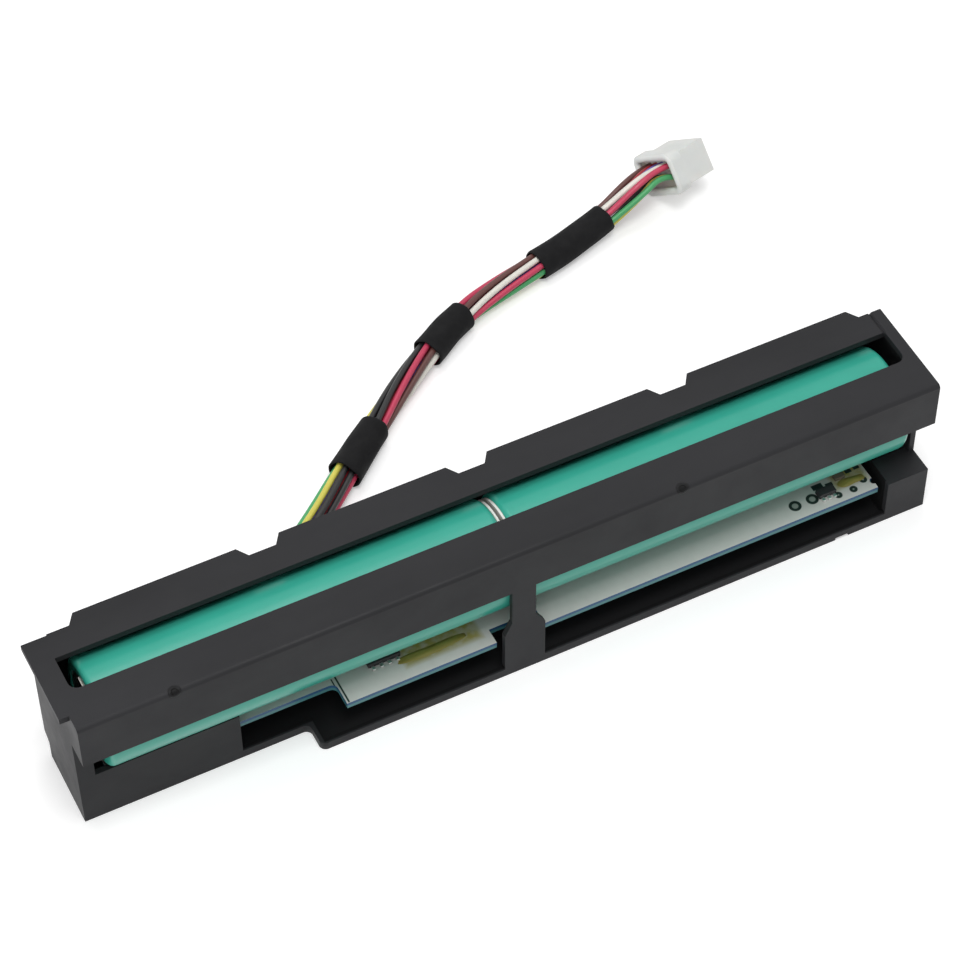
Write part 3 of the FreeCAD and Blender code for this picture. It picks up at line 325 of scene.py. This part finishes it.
def moulded_plastic():
    """Black plastic: fine grain, flow marks and uneven gloss, with painted shade and a duller finish
    inside, and two sprue marks.
    """
    colour = settings("colours").plastic
    finish = Finish("moulded_black_plastic", colour, 0.5, {"Specular IOR Level": 0.15})
    flow = finish.noise(18, 4, 0.6, finish.stretched((0.5, 1.6, 1.6)))
    dark, light = (tuple(share * part for part in colour) for share in (0.84, 1.16))
    outside = finish.blend(finish.ramp(flow, 0.35, 0.65, 0, 1), dark, light)
    painted_shade_inside = finish.largest(*(finish.inside(from_corner(low), from_corner(high), 0.3 * MM)
                              for low, high in PAINTED_SHADE_BOXES))
    scars, rims = [], []
    for mark in SPRUE_MARKS:
        point = from_corner(mark)
        scars.append(finish.spot(point, SCAR_RADIUS, 0.9 * MM))
        rims.append(finish.ring(point, SCAR_RIM_RADIUS, 0.5 * MM))
    scar = finish.largest(*scars)
    # Painted shade: inside the carrier, under the bar and round the block, the colour is near black
    moulded = finish.blend(painted_shade_inside, outside, shade(7, 7, 8))
    finish.set("Base Color", finish.blend(scar, moulded, shade(9, 9, 10)))
    rough = finish.ramp(finish.noise(60, 5, 0.65), 0.35, 0.65, 0.44, 0.58)
    finish.set("Roughness", finish.largest(rough, finish.ramp(painted_shade_inside, 0, 1, 0, 0.8)))
    grain = finish.bump(finish.noise(4200, 2, 0.5), 0.012 * MM, 0.55)
    waves = finish.bump(finish.noise(140, 3, 0.5), 0.02 * MM, 0.5, grain)
    finish.set("Normal", finish.bump(finish.largest(*rims), 0.3 * MM, 1.0, waves))
    return finish.material


def shrink_film_finish():
    """Mint film: satin, with faint rings where it has shrunk and clouds in its colour."""
    colour = settings("colours").film
    finish = Finish("mint_shrink_film", colour, 0.33, {"Coat Weight": 0.1, "Coat Roughness": 0.2,
                                                        "Specular IOR Level": 0.35})
    clouds = finish.noise(45, 4, 0.6, finish.stretched((1, 0.6, 0.6)))
    finish.vary(finish.ramp(clouds, 0.3, 0.7, 0, 1), colour, 0.05)
    finish.set("Roughness", finish.ramp(finish.noise(120, 3, 0.5), 0.35, 0.65, 0.28, 0.4))
    creases = finish.noise(260, 2, 0.4, finish.stretched((0.12, 1, 1)))
    finish.set("Normal", finish.bump(creases, 0.03 * MM, 0.35))
    return finish.material


def metal(name, colour, roughness, across):
    """Plated or rolled metal with fine scratches, across being their spacing along X, Y and Z."""
    finish = Finish(name, colour, roughness, {"Metallic": 1.0})
    scratches = finish.noise(900, 3, 0.6, finish.stretched(across))
    finish.set("Roughness", finish.ramp(scratches, 0.3, 0.7, roughness - 0.06, roughness + 0.12))
    finish.set("Normal", finish.bump(scratches, 0.006 * MM, 0.4))
    return finish.material


def fibre_finish():
    """White pressed fibre: matt, with short fibres in its surface."""
    colour = shade(226, 226, 221)
    finish = Finish("white_fibre_board", colour, 0.85)
    fibres = finish.noise(1500, 3, 0.6, finish.stretched((1, 0.4, 1)))
    finish.vary(fibres, colour, 0.06)
    finish.set("Normal", finish.bump(fibres, 0.03 * MM, 0.5))
    return finish.material


def board_finish():
    """White solder mask with dark lines, painted shadow along the film and test rings, and bare laminate
    on the sides.

    The sides show a dark blue copper line over the green of the laminate.
    """
    colour = settings("colours").board
    finish = Finish("board_solder_mask", colour, 0.42)
    facing = finish.add("ShaderNodeNewGeometry").outputs["Normal"]
    up = finish.add("ShaderNodeSeparateXYZ", Vector=facing)
    at = finish.add("ShaderNodeSeparateXYZ", Vector=finish.place)
    top = finish.ramp(up.outputs["Z"], 0.4, 0.6, 0, 1)
    high = finish.ramp(at.outputs["Z"], *COPPER_LINE, 0, 1)
    side = finish.blend(high, shade(66, 122, 126), shade(28, 76, 118))
    clouds = finish.blend(finish.noise(500, 3, 0.5), tuple(0.9 * c for c in colour), tuple(colour))

    def patch(corners, soft):
        """1 between two corners on the board's upper face, fading to 0 over the width soft."""
        first, last = (from_corner((*corner, height)) for corner, height in zip(corners, FACE_HEIGHTS))
        return finish.inside(first, last, soft)

    for corners in STAINS:
        stain = patch(corners, 1.6 * MM)
        uneven = finish.smallest(stain, finish.ramp(finish.noise(420, 3, 0.5), 0.35, 0.6, 0.5, 0.95))
        clouds = finish.blend(uneven, clouds, settings("colours").glue)
    for along, back, radius in TEST_RINGS:
        point = from_corner((along, back, BOARD_FACE))
        clouds = finish.blend(finish.spot(point, radius * MM), clouds, shade(142, 148, 142))
        rim = finish.ring(point, radius * MM, TEST_RING_WIDTH)
        clouds = finish.blend(rim, clouds, shade(22, 34, 30))
    # Painted shadow: two of these strips darken the board along the film's lower edge; the others are
    # thin lines and dark patches on it
    dark = [patch(corners, 0.08 * MM) for corners in DARK_LINES_AND_PAINTED_SHADOWS]
    lines_and_shadows = finish.blend(finish.largest(*dark), clouds, shade(30, 44, 42))
    finish.set("Base Color", finish.blend(top, side, lines_and_shadows))
    finish.set("Normal", finish.bump(finish.noise(2600, 2, 0.5), 0.008 * MM, 0.5))
    return finish.material


def plain_plastic(name, colour, roughness, grain=1800, depth=0.01, sockets=()):
    """Plastic or glue of one colour, with a slight grain and cloud."""
    finish = Finish(name, colour, roughness, sockets)
    finish.vary(finish.noise(220, 4, 0.6), colour, 0.07)
    finish.set("Roughness", finish.ramp(finish.noise(400, 3, 0.6), 0.35, 0.65, roughness - 0.06,
                                        roughness + 0.06))
    finish.set("Normal", finish.bump(finish.noise(grain, 2, 0.5), depth * MM, 0.5))
    return finish.material


def dress(node, material):
    """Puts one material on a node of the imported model."""
    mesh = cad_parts[node].data
    mesh.materials.clear()
    mesh.materials.append(material)


def soften(node, width, segments=2):
    """Rounds a node's sharp edges: its loose triangles are welded and joined into flat faces first."""
    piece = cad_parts[node]
    weld = piece.modifiers.new("Weld", "WELD")
    weld.merge_threshold = 1e-6
    flat = piece.modifiers.new("Flat faces", "DECIMATE")
    flat.decimate_type = "DISSOLVE"
    flat.angle_limit = math.radians(0.5)
    bevel = piece.modifiers.new("Edges", "BEVEL")
    bevel.limit_method = "ANGLE"
    bevel.angle_limit = math.radians(30)
    bevel.width = width
    bevel.segments = segments
    bevel.use_clamp_overlap = True
    bevel.harden_normals = True


# Harness

# Middle of the bundle, from the board's back edge to the connector
ROUTE = from_corner([
    (60.5, 22.0, 12.9),
    (60.5, 31.04, 12.9),
    (60.5, 39.5, 6.6),
    (66.14, 45.88, 3.69),
    (76.35, 53.59, 3.69),
    (85.47, 61.22, 3.69),
    (97.84, 71.0, 3.69),
    (106.96, 77.89, 3.69),
    (117.17, 85.02, 3.69),
    (129.78, 92.23, 3.69),
    (140.7, 95.22, 3.69),
    (151.51, 97.7, 3.69),
    (161.95, 100.44, 3.69),
    (171.92, 103.42, 4.3),
])
# Degrees that the bundle has turned about its middle at each point
TWIST = np.radians([0, 0, 0, 0, 0, 12, 50, 88, 115, 145, 180, 195, 205, 215, 225])
# Name, colour, place in the bundle (0 and 1 inside, 2 to 9 round them), column and row in the connector
WIRES = [
    ("violet_wire", "violet", 0, 0, 1),
    ("red_wire", "red", 1, 1, 1),
    ("second_black_wire", "black", 2, 1, -1),
    ("first_black_wire", "black", 3, 0, -1),
    ("yellow_wire", "yellow", 4, -1, -1),
    ("green_wire", "green", 5, -2, -1),
    ("second_crimson_wire", "crimson", 6, -2, 1),
    ("white_wire", "white", 7, -1, 1),
    ("brown_wire", "brown", 8, 2, 1),
    ("first_crimson_wire", "crimson", 9, 2, -1),
]
# Each sleeve's first and last point on the route, and its radius at both ends
SLEEVES = {
    "first_harness_sleeve": (5, 6, 3.95, 3.5),
    "middle_harness_sleeve": (8, 9, 3.75, 3.5),
    "last_harness_sleeve": (11, 13, 3.65, 3.45),
}
# Rings of points along a sleeve
SLEEVE_RINGS = 40
# The ring of eight outer wires: its radius, as a share of the space from wire to wire
OUTER_RING = 1.475
# Cavities of the connector: across from one to the next, and up from row to row
CAVITY_PITCH = 2.3 * MM
CAVITY_ROWS = 3.4 * MM
# Along the connector from its rear rim: where the wires spread, pass the collar and end
SPREAD = -7.5 * MM
PASSING = -1.6 * MM
SEATED = 2.4 * MM
# At the collar a wire is drawn in to this share of its cavity's place across. Its height there,
# in millimetres, is the first number plus the second times its row, which is 1 or -1
PASSING_SHARE = 0.78
PASSING_UP = (1.35, 0.85)
# The bead on the collar: half its width and height, its corners' radius, and its own radius
COLLAR_BEAD = (6.45 * MM, 4.3 * MM, 1.6 * MM, 0.88 * MM)
# Where the bead's middle lies, along from the rear rim
BEAD_ALONG = 0.35 * MM


def connector_matrix():
    """Where the connector lies: X to its mating end, rolled onto its lower corner.

    The corner's drop is half the width times the sine of the roll, plus half the thickness
    times its cosine. The collar's drop is the same sum for the collar, whose corners are
    round, and the tilt brings both down onto the surface.
    """
    roll, heading = math.radians(38.5), math.radians(15.5)
    half_width, half_thickness, corner, lip = 6.25, 4.1, 2.5, 1.1
    length, collar = 11.0, 3.0
    spread = lip - corner
    sine, cosine = math.sin(roll), math.cos(roll)
    corner_drop = half_width * sine + half_thickness * cosine
    collar_drop = (half_width + spread) * sine + (half_thickness + spread) * cosine + corner
    tilt = math.atan2(collar_drop - corner_drop, length - collar)
    turned = (Matrix.Rotation(heading, 4, "Z") @ Matrix.Rotation(tilt, 4, "Y")
              @ Matrix.Rotation(-roll, 4, "X"))
    mouth = Vector(from_corner((198.35, 109.85, corner_drop * math.cos(tilt))))
    return Matrix.Translation(mouth) @ turned @ Matrix.Translation((-length * MM, 0, 0))


def in_connector(along, across, up):
    """A point given along the connector, across it and up, in metres."""
    return np.array(connector_matrix() @ Vector((along, across, up)))


def unit(vectors):
    """Each vector divided by its length."""
    return vectors / np.linalg.norm(vectors, axis=-1, keepdims=True)


def harness_middle():
    """The route's points, with the place where the wires spread behind the connector."""
    return np.vstack([ROUTE, in_connector(SPREAD, 0, 0)])


def wire_points(middle, across, up):
    """One wire's points: its place in the bundle's section, carried along the middle.

    At each point the section lies across the mean of the two runs. The place is turned by
    the bundle's twist, and its part along the bend is divided by the cosine of half the
    turn, so that neighbouring runs stay parallel.
    """
    runs = unit(np.diff(middle, axis=0))
    arriving = np.vstack([runs[:1], runs])
    leaving = np.vstack([runs, runs[-1:]])
    forwards = unit(arriving + leaving)
    right = unit(np.cross(forwards, (0.0, 0.0, 1.0)))
    above = np.cross(right, forwards)
    sideways = across * np.cos(TWIST) - up * np.sin(TWIST)
    upwards = across * np.sin(TWIST) + up * np.cos(TWIST)
    offset = right * sideways[:, None] + above * upwards[:, None]
    bending = leaving - arriving
    size = np.linalg.norm(bending, axis=1, keepdims=True)
    bending = np.where(size > 1e-9, bending / np.maximum(size, 1e-9), 0)
    half_turn = np.arccos(np.clip(np.sum(arriving * leaving, axis=1), -1, 1)) / 2
    share = np.sum(offset * bending, axis=1) * (1 / np.cos(half_turn) - 1)
    return middle + offset + bending * share[:, None]


def bundle_place(number):
    """Across and up of one wire in the bundle: two side by side, and eight in a ring round them."""
    harness = settings("harness")
    pitch = harness.wire + harness.gap
    if number < 2:
        return (number - 0.5) * pitch, 0.0
    turn = math.pi * (1 / 8 + (number - 2) / 4)
    return OUTER_RING * pitch * math.cos(turn), OUTER_RING * pitch * math.sin(turn)


def nurbs_curve(name, points, radius):
    """A curve object of one smooth spline with those control points, round with a radius over 0."""
    curve = bpy.data.curves.new(name, "CURVE")
    curve.dimensions = "3D"
    spline = curve.splines.new("NURBS")
    spline.points.add(len(points) - 1)
    spline.points.foreach_set("co", np.column_stack([points, np.ones(len(points))]).ravel())
    spline.order_u = 3
    spline.use_endpoint_u = True
    spline.resolution_u = 10
    curve.bevel_depth = radius
    curve.bevel_resolution = 5
    curve.use_fill_caps = radius > 0
    piece = bpy.data.objects.new(name, curve)
    bpy.context.scene.collection.objects.link(piece)
    return piece


def spline_line(points):
    """Points along the smooth spline of those control points, read from a curve with no bevel."""
    piece = nurbs_curve("harness_middle_line", points, 0)
    mesh = bpy.data.meshes.new_from_object(piece)
    line = np.empty(len(mesh.vertices) * 3)
    mesh.vertices.foreach_get("co", line)
    curve = piece.data
    bpy.data.objects.remove(piece)
    bpy.data.curves.remove(curve)
    bpy.data.meshes.remove(mesh)
    return line.reshape(-1, 3)


def part_of_line(line, start, end, count):
    """That many points at equal steps along a line, between the places nearest two points."""
    first, last = (np.argmin(np.linalg.norm(line - point, axis=1)) for point in (start, end))
    piece = line[first:last + 1]
    walked = np.concatenate([[0], np.cumsum(np.linalg.norm(np.diff(piece, axis=0), axis=1))])
    places = np.linspace(0, walked[-1], count)
    return np.column_stack([np.interp(places, walked, piece[:, axis]) for axis in range(3)])


def line_frames(line):
    """Forwards, right and above at each point of a line that is never upright."""
    forwards = unit(np.gradient(line, axis=0))
    right = unit(np.cross(forwards, (0.0, 0.0, 1.0)))
    return forwards, right, np.cross(right, forwards)


def grid_faces(rows, columns, close_rows):
    """Four-cornered faces of a grid of points whose rows are rings. Its last row can join its first."""
    down = np.arange(rows if close_rows else rows - 1)
    row, column = (part.ravel() for part in np.meshgrid(down, np.arange(columns), indexing="ij"))
    below, beside = (row + 1) % rows, (column + 1) % columns
    return np.column_stack([row * columns + column, row * columns + beside,
                            below * columns + beside, below * columns + column])


def surface(name, points, close_rows=False, ends=False):
    """A smooth mesh object from a grid of points, rows by columns, each row a ring.

    With close_rows the last row joins the first. With ends, the two open rims get a face each.
    """
    rows, columns = points.shape[:2]
    faces = grid_faces(rows, columns, close_rows).tolist()
    if ends:
        faces.append(list(range(columns))[::-1])
        faces.append(list(range((rows - 1) * columns, rows * columns)))
    mesh = bpy.data.meshes.new(name)
    mesh.from_pydata(points.reshape(-1, 3).tolist(), [], faces)
    mesh.update()
    mesh.shade_smooth()
    piece = bpy.data.objects.new(name, mesh)
    bpy.context.scene.collection.objects.link(piece)
    return piece


def finish_piece(piece, material, stands_for=()):
    """Gives a new piece its material, lets it ride on the object, and hides the nodes that it stands
    for.
    """
    piece.data.materials.clear()
    piece.data.materials.append(material)
    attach(piece, "root")
    if stands_for:
        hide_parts(*stands_for)
    return piece


def sleeve(name, line, first_radius, last_radius, wall, seed):
    """A short tube along a line, its ends cut by hand.

    The grid goes along the outside and back along the inside, and is closed both ways. The
    radius falls evenly from end to end with a few low waves round it. At each end the cut
    wanders by the mean of three waves in the angle, which fades along the tube as the
    exponential of the share walked over the reach. The last ring at each end is drawn in a
    little, and the underside is flat where it rests.
    """
    around = 64
    cut, reach, drawn_in = 0.22 * MM, 0.08, 0.06
    random = np.random.default_rng(seed)
    turn = np.linspace(0, 2 * np.pi, around, endpoint=False)
    share = np.linspace(0, 1, len(line))[:, None]
    forwards, right, above = line_frames(line)
    phases = random.uniform(0, 2 * np.pi, (2, 3))
    waves = np.arange(2, 5)
    cuts = cut * sum(np.sin(n * turn + phases[:, i:i + 1]) for i, n in enumerate(waves)) / 3
    ripple = 0.05 * MM * np.sin(3 * turn + 5 * share + phases[0, 0]) * np.sin(np.pi * share) \
        + 0.04 * MM * np.sin(5 * turn - 9 * share + phases[1, 0])
    outer = first_radius + (last_radius - first_radius) * share + ripple
    ends = np.exp(-share / reach) * cuts[0] + np.exp(-(1 - share) / reach) * cuts[1]

    def layer(radius):
        """The tube's rings at a radius, with the ends' cut."""
        return (line[:, None] + forwards[:, None] * ends[..., None]
                + right[:, None] * (radius * np.cos(turn))[..., None]
                + above[:, None] * (radius * np.sin(turn))[..., None])

    outside = layer(outer)
    outside[..., 2] = np.maximum(outside[..., 2], 0)
    for end in (0, -1):
        outside[end] += (line[end] - outside[end]) * drawn_in
    inside = layer(outer - wall)[::-1]
    return surface(name, np.concatenate([outside, inside])[:, ::-1], close_rows=True)


def collar_bead(name, half_width, half_height, corner, radius):
    """The round bead on the rim of the connector's collar.

    Its middle runs round a rectangle with round corners: the centre of the corner in that
    quarter, by the signs of the angle's cosine and sine, and from there the corner's radius
    along the angle. Its section is a circle of the given radius.
    """
    turn = np.linspace(0, 2 * np.pi, 120, endpoint=False)
    section = np.linspace(0, 2 * np.pi, 20, endpoint=False)
    outwards = np.column_stack([np.cos(turn), np.sin(turn)])
    loop = np.sign(outwards) * (half_width - corner, half_height - corner) + corner * outwards
    flat = loop[:, None] + outwards[:, None] * np.cos(section)[None, :, None] * radius
    along = np.broadcast_to(BEAD_ALONG + radius * np.sin(section)[None, :, None], (*flat.shape[:2], 1))
    points = np.concatenate([along, flat], axis=2)
    turned = np.array(connector_matrix())
    placed = points @ turned[:3, :3].T + turned[:3, 3]
    return surface(name, placed[:, ::-1], close_rows=True)


def glue_patch(name, node, stretch, seed):
    """Glue that has run over the board: a low mound with a wandering rim, in place of a node.

    The rim is the node's rectangle, stretched, with very round corners by the third powers of
    cosine and sine, times one plus three waves in the angle. The height falls from the middle
    as one minus the square of the share of the radius, with a low wave round it.
    """
    rings, around = 24, 90
    low, high = (np.array(corner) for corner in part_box(node))
    centre, half = (low + high) / 2, (high - low) / 2 * np.array([*stretch, 1])
    random = np.random.default_rng(seed)
    turn = np.linspace(0, 2 * np.pi, around, endpoint=False)
    share = np.linspace(1, 0.02, rings)[:, None]
    phases = random.uniform(0, 2 * np.pi, 4)
    squarish = (np.abs(np.cos(turn)) ** 3 + np.abs(np.sin(turn)) ** 3) ** (-1 / 3)
    waves = sum(size * np.sin(n * turn + phases[n % 4]) for n, size in ((2, 0.04), (3, 0.07), (5, 0.05)))
    rim = squarish * (1 + waves)
    lumps = 1 + 0.15 * np.sin(3 * turn + phases[3]) * share
    height = 1.1 * half[2] * (1 - share ** 2) * lumps
    points = np.stack([centre[0] + half[0] * share * rim * np.cos(turn),
                       centre[1] + half[1] * share * rim * np.sin(turn),
                       low[2] + height], axis=2)
    return surface(name, points, ends=True)


def wire_finish(colour_name):
    """Soft insulation of one colour: satin, with faint marks of handling."""
    colour = getattr(settings("colours"), colour_name)
    finish = Finish(f"{colour_name}_insulation", colour, 0.4)
    finish.vary(finish.noise(300, 3, 0.6), colour, 0.06)
    finish.set("Roughness", finish.ramp(finish.noise(700, 3, 0.6), 0.3, 0.7, 0.34, 0.5))
    finish.set("Normal", finish.bump(finish.noise(1500, 2, 0.5), 0.01 * MM, 0.4))
    return finish.material


class BATTERY_OT_camera(bpy.types.Operator):
    """Sets up the camera at the photograph's angle"""

    bl_idname = "battery.camera"
    bl_label = "Camera"

    def execute(self, context):
        """Right, up and backwards of the camera are the columns of its turn."""
        camera = bpy.data.cameras.new("camera")
        camera.sensor_width = 36
        camera.lens = settings("stage").lens
        camera.clip_start = 0.01
        camera.clip_end = 20
        piece = bpy.data.objects.new("camera", camera)
        right, forward = Vector(CAMERA_RIGHT), Vector(CAMERA_FORWARD)
        up = right.cross(forward)
        turn = Matrix((right, up, -forward)).transposed().to_4x4()
        piece.matrix_world = Matrix.Translation(CAMERA_PLACE) @ turn
        context.scene.collection.objects.link(piece)
        context.scene.camera = piece
        return {"FINISHED"}


class BATTERY_OT_harness(bpy.types.Operator):
    """Adds the ten wires and their three sleeves"""

    bl_idname = "battery.harness"
    bl_label = "Wire harness"

    def execute(self, context):
        """Every wire is a smooth spline that keeps its place in the bundle.

        The spline of the second degree passes a route point at six eighths of the point and
        an eighth of each of its neighbours, and there a sleeve starts or ends.
        """
        harness = settings("harness")
        middle = harness_middle()
        line = spline_line(middle)
        bundle = OUTER_RING * (harness.wire + harness.gap) + harness.wire / 2
        black = plain_plastic("black_sleeve", shade(24, 24, 25), 0.8, 2600, 0.03,
                              {"Specular IOR Level": 0.15})
        for seed, (name, (first, last, wide, narrow)) in enumerate(SLEEVES.items()):
            start, end = ((middle[i - 1] + 6 * middle[i] + middle[i + 1]) / 8 for i in (first, last))
            course = part_of_line(line, start, end, SLEEVE_RINGS)
            made = sleeve(f"{name}_tube", course, wide * MM, narrow * MM, harness.sleeve_wall, seed)
            finish_piece(made, black, [name])
        if min(min(radii[2:]) for radii in SLEEVES.values()) * MM < bundle + harness.sleeve_wall:
            raise RuntimeError("a sleeve is narrower than the wires inside it")
        finishes = {}
        for name, colour, number, column, row in WIRES:
            if colour not in finishes:
                finishes[colour] = wire_finish(colour)
            points = wire_points(middle, *bundle_place(number))
            across, up = column * CAVITY_PITCH, row * CAVITY_ROWS / 2
            behind = in_connector(SPREAD, across, up)
            passing_up = (PASSING_UP[0] + PASSING_UP[1] * row) * MM
            before = in_connector(PASSING, PASSING_SHARE * across, passing_up)
            inside = in_connector(SEATED, across, up)
            points = np.vstack([points[:-1], (points[-1] + behind) / 2, before, inside])
            cord = nurbs_curve(f"{name}_cord", points, harness.wire / 2)
            finish_piece(cord, finishes[colour], [name])
            walked = spline_line(points)
        return {"FINISHED"}


class BATTERY_OT_connector(bpy.types.Operator):
    """Finishes the connector and its contacts"""

    bl_idname = "battery.connector"
    bl_label = "Connector"

    def execute(self, context):
        """The housing's edges are rounded and it gets the look of nylon."""
        colour = settings("colours").connector
        nylon = plain_plastic("white_nylon", colour, 0.45, 900, 0.01, {"Subsurface Weight": 0.08})
        dress("connector_housing", nylon)
        soften("connector_housing", 0.35 * MM, 3)
        finish_piece(collar_bead("connector_collar_bead", *COLLAR_BEAD), nylon)
        dress("connector_contacts", metal("plated_brass", shade(214, 190, 120), 0.3, (0.1, 1, 1)))
        return {"FINISHED"}


class BATTERY_OT_cells(bpy.types.Operator):
    """Finishes the cells, their shrink film, rings and strips"""

    bl_idname = "battery.cells"
    bl_label = "Cells"

    def execute(self, context):
        """Film, steel, fibre and nickel."""
        film = shrink_film_finish()
        steel = metal("nickel_plated_steel", shade(200, 199, 196), 0.28, (0.05, 1, 1))
        fibre = fibre_finish()
        nickel = metal("rolled_nickel", shade(205, 202, 194), 0.25, (1, 0.06, 1))
        for side in ("left", "right"):
            dress(f"{side}_shrink_film", film)
            dress(f"{side}_inner_link", nickel)
            dress(f"{side}_end_strip", nickel)
        for place in ("left", "middle", "right"):
            dress(f"{place}_insulating_ring", fibre)
        dress("joint_link", nickel)
        for number in range(1, 5):
            dress(f"cell_{number}", steel)
        return {"FINISHED"}


class BATTERY_OT_carrier(bpy.types.Operator):
    """Finishes the moulded carrier"""

    bl_idname = "battery.carrier"
    bl_label = "Carrier"

    def execute(self, context):
        """Sharp moulded edges get their small rounds."""
        dress("carrier_frame", moulded_plastic())
        soften("carrier_frame", 0.25 * MM, 2)
        return {"FINISHED"}


class BATTERY_OT_board(bpy.types.Operator):
    """Finishes the circuit board and what stands on it"""

    bl_idname = "battery.board"
    bl_label = "Circuit board"

    def execute(self, context):
        """Solder mask, epoxy, tin, ceramic and glue."""
        dress("circuit_board", board_finish())
        epoxy = plain_plastic("black_epoxy", shade(34, 35, 37), 0.6, 2500, 0.02)
        tin = metal("tinned_lead", shade(222, 222, 220), 0.32, (1, 1, 1))
        glue = plain_plastic("hot_glue", settings("colours").glue, 0.42, 500, 0.05,
                             {"Subsurface Weight": 0.3, "Specular IOR Level": 0.3})
        for chip in ("controller_chip", "regulator_chip"):
            dress(chip, epoxy)
            dress(f"{chip}_leads", tin)
            soften(chip, 0.12 * MM)
            soften(f"{chip}_leads", 0.1 * MM)
        dress("storage_capacitor", plain_plastic("capacitor_ceramic", shade(112, 104, 90), 0.5))
        soften("storage_capacitor", 0.08 * MM)
        dress("harness_solder_block", glue)
        for seed, (side, stretch) in enumerate(GLUE_STRETCH.items(), start=4):
            patch = glue_patch(f"{side}_glue_patch", f"{side}_glue_bead", stretch, seed)
            finish_piece(patch, glue, [f"{side}_glue_bead"])
        return {"FINISHED"}


class BATTERY_OT_stage(bpy.types.Operator):
    """Adds the floor, the lamps and the room"""

    bl_idname = "battery.stage"
    bl_label = "Stage"

    def execute(self, context):
        """A pale floor, four soft lamps and an even room."""
        stage = settings("stage")
        mesh = bpy.data.meshes.new("floor")
        corners = [(-1, -1), (1, -1), (1, 1), (-1, 1)]
        mesh.from_pydata([(x * FLOOR_REACH, y * FLOOR_REACH, 0) for x, y in corners], [], [(0, 1, 2, 3)])
        floor = bpy.data.objects.new("floor", mesh)
        context.scene.collection.objects.link(floor)
        floor.location.z = -FLOOR_DROP
        floor.data.materials.append(floor_finish())
        for name, (place, edge) in LAMPS.items():
            lamp(name, place, edge, getattr(stage, name))
        world = bpy.data.worlds.new("room")
        world.use_nodes = True
        tree = world.node_tree
        background = tree.nodes["Background"]
        background.inputs["Color"].default_value = (1, 1, 1, 1)
        seen = camera_glossy_or_clear(tree)
        strength = tree.nodes.new("ShaderNodeMapRange")
        tree.links.new(seen, strength.inputs["Value"])
        strength.inputs["To Min"].default_value = stage.surroundings
        strength.inputs["To Max"].default_value = 1
        tree.links.new(strength.outputs["Result"], background.inputs["Strength"])
        context.scene.world = world
        context.scene.view_settings.view_transform = "Standard"
        return {"FINISHED"}


def camera_glossy_or_clear(tree):
    """1 for rays from the camera, from a gloss or through something clear, and 0 for all others."""
    path = tree.nodes.new("ShaderNodeLightPath")
    seen = path.outputs["Is Camera Ray"]
    for kind in ("Is Glossy Ray", "Is Transmission Ray"):
        larger = tree.nodes.new("ShaderNodeMath")
        larger.operation = "MAXIMUM"
        tree.links.new(seen, larger.inputs[0])
        tree.links.new(path.outputs[kind], larger.inputs[1])
        seen = larger.outputs[0]
    return seen


def floor_finish():
    """A white floor that keeps its shadows: for the camera it glows a little besides."""
    material = bpy.data.materials.new("pale_floor")
    material.use_nodes = True
    tree = material.node_tree
    shader = tree.nodes["Principled BSDF"]
    shader.inputs["Base Color"].default_value = (0.86, 0.86, 0.86, 1)
    shader.inputs["Roughness"].default_value = 0.9
    shader.inputs["Specular IOR Level"].default_value = 0.2
    shader.inputs["Emission Color"].default_value = (1, 1, 1, 1)
    glow = tree.nodes.new("ShaderNodeMath")
    glow.operation = "MULTIPLY"
    tree.links.new(camera_glossy_or_clear(tree), glow.inputs[0])
    glow.inputs[1].default_value = FLOOR_GLOW
    tree.links.new(glow.outputs[0], shader.inputs["Emission Strength"])
    return material


def lamp(name, place, edge, power):
    """A square soft lamp that faces the middle of the object."""
    light = bpy.data.lights.new(name, "AREA")
    light.size = edge
    light.energy = power
    piece = bpy.data.objects.new(name, light)
    piece.location = place
    aim = Vector(LIT_PLACE) - Vector(place)
    piece.rotation_euler = aim.to_track_quat("-Z", "Y").to_euler()
    bpy.context.scene.collection.objects.link(piece)


class BATTERY_PT_panel(bpy.types.Panel):
    """Lists the steps and settings in the sidebar"""

    bl_idname = "BATTERY_PT_panel"
    bl_label = "Battery module"
    bl_space_type = "VIEW_3D"
    bl_region_type = "UI"
    bl_category = "Battery module"

    def draw(self, context):
        """One button for each step, then the settings."""
        for step in STEPS:
            self.layout.operator(f"battery.{step}")
        for group in GROUPS:
            chosen = settings(group)
            box = self.layout.box()
            for key in chosen.bl_rna.properties.keys():
                if key not in ("rna_type", "name"):
                    box.prop(chosen, key)


STEPS = ("camera", "harness", "connector", "cells", "carrier", "board", "stage")
GROUPS = {"harness": HarnessSettings, "colours": ColourSettings, "stage": StageSettings}
CLASSES = (
    *GROUPS.values(),
    BATTERY_OT_camera,
    BATTERY_OT_harness,
    BATTERY_OT_connector,
    BATTERY_OT_cells,
    BATTERY_OT_carrier,
    BATTERY_OT_board,
    BATTERY_OT_stage,
    BATTERY_PT_panel,
)


def register():
    """Registers the classes and the settings."""
    for kind in CLASSES:
        bpy.utils.register_class(kind)
    for name, kind in GROUPS.items():
        setattr(bpy.types.Scene, f"battery_{name}", PointerProperty(type=kind))


def unregister():
    """Takes the settings and the classes away again."""
    for name in GROUPS:
        delattr(bpy.types.Scene, f"battery_{name}")
    for kind in reversed(CLASSES):
        bpy.utils.unregister_class(kind)


def main():
    """Builds everything in order."""
    register()
    for step in STEPS:
        getattr(bpy.ops.battery, step)()


if __name__ == "__main__":
    main()
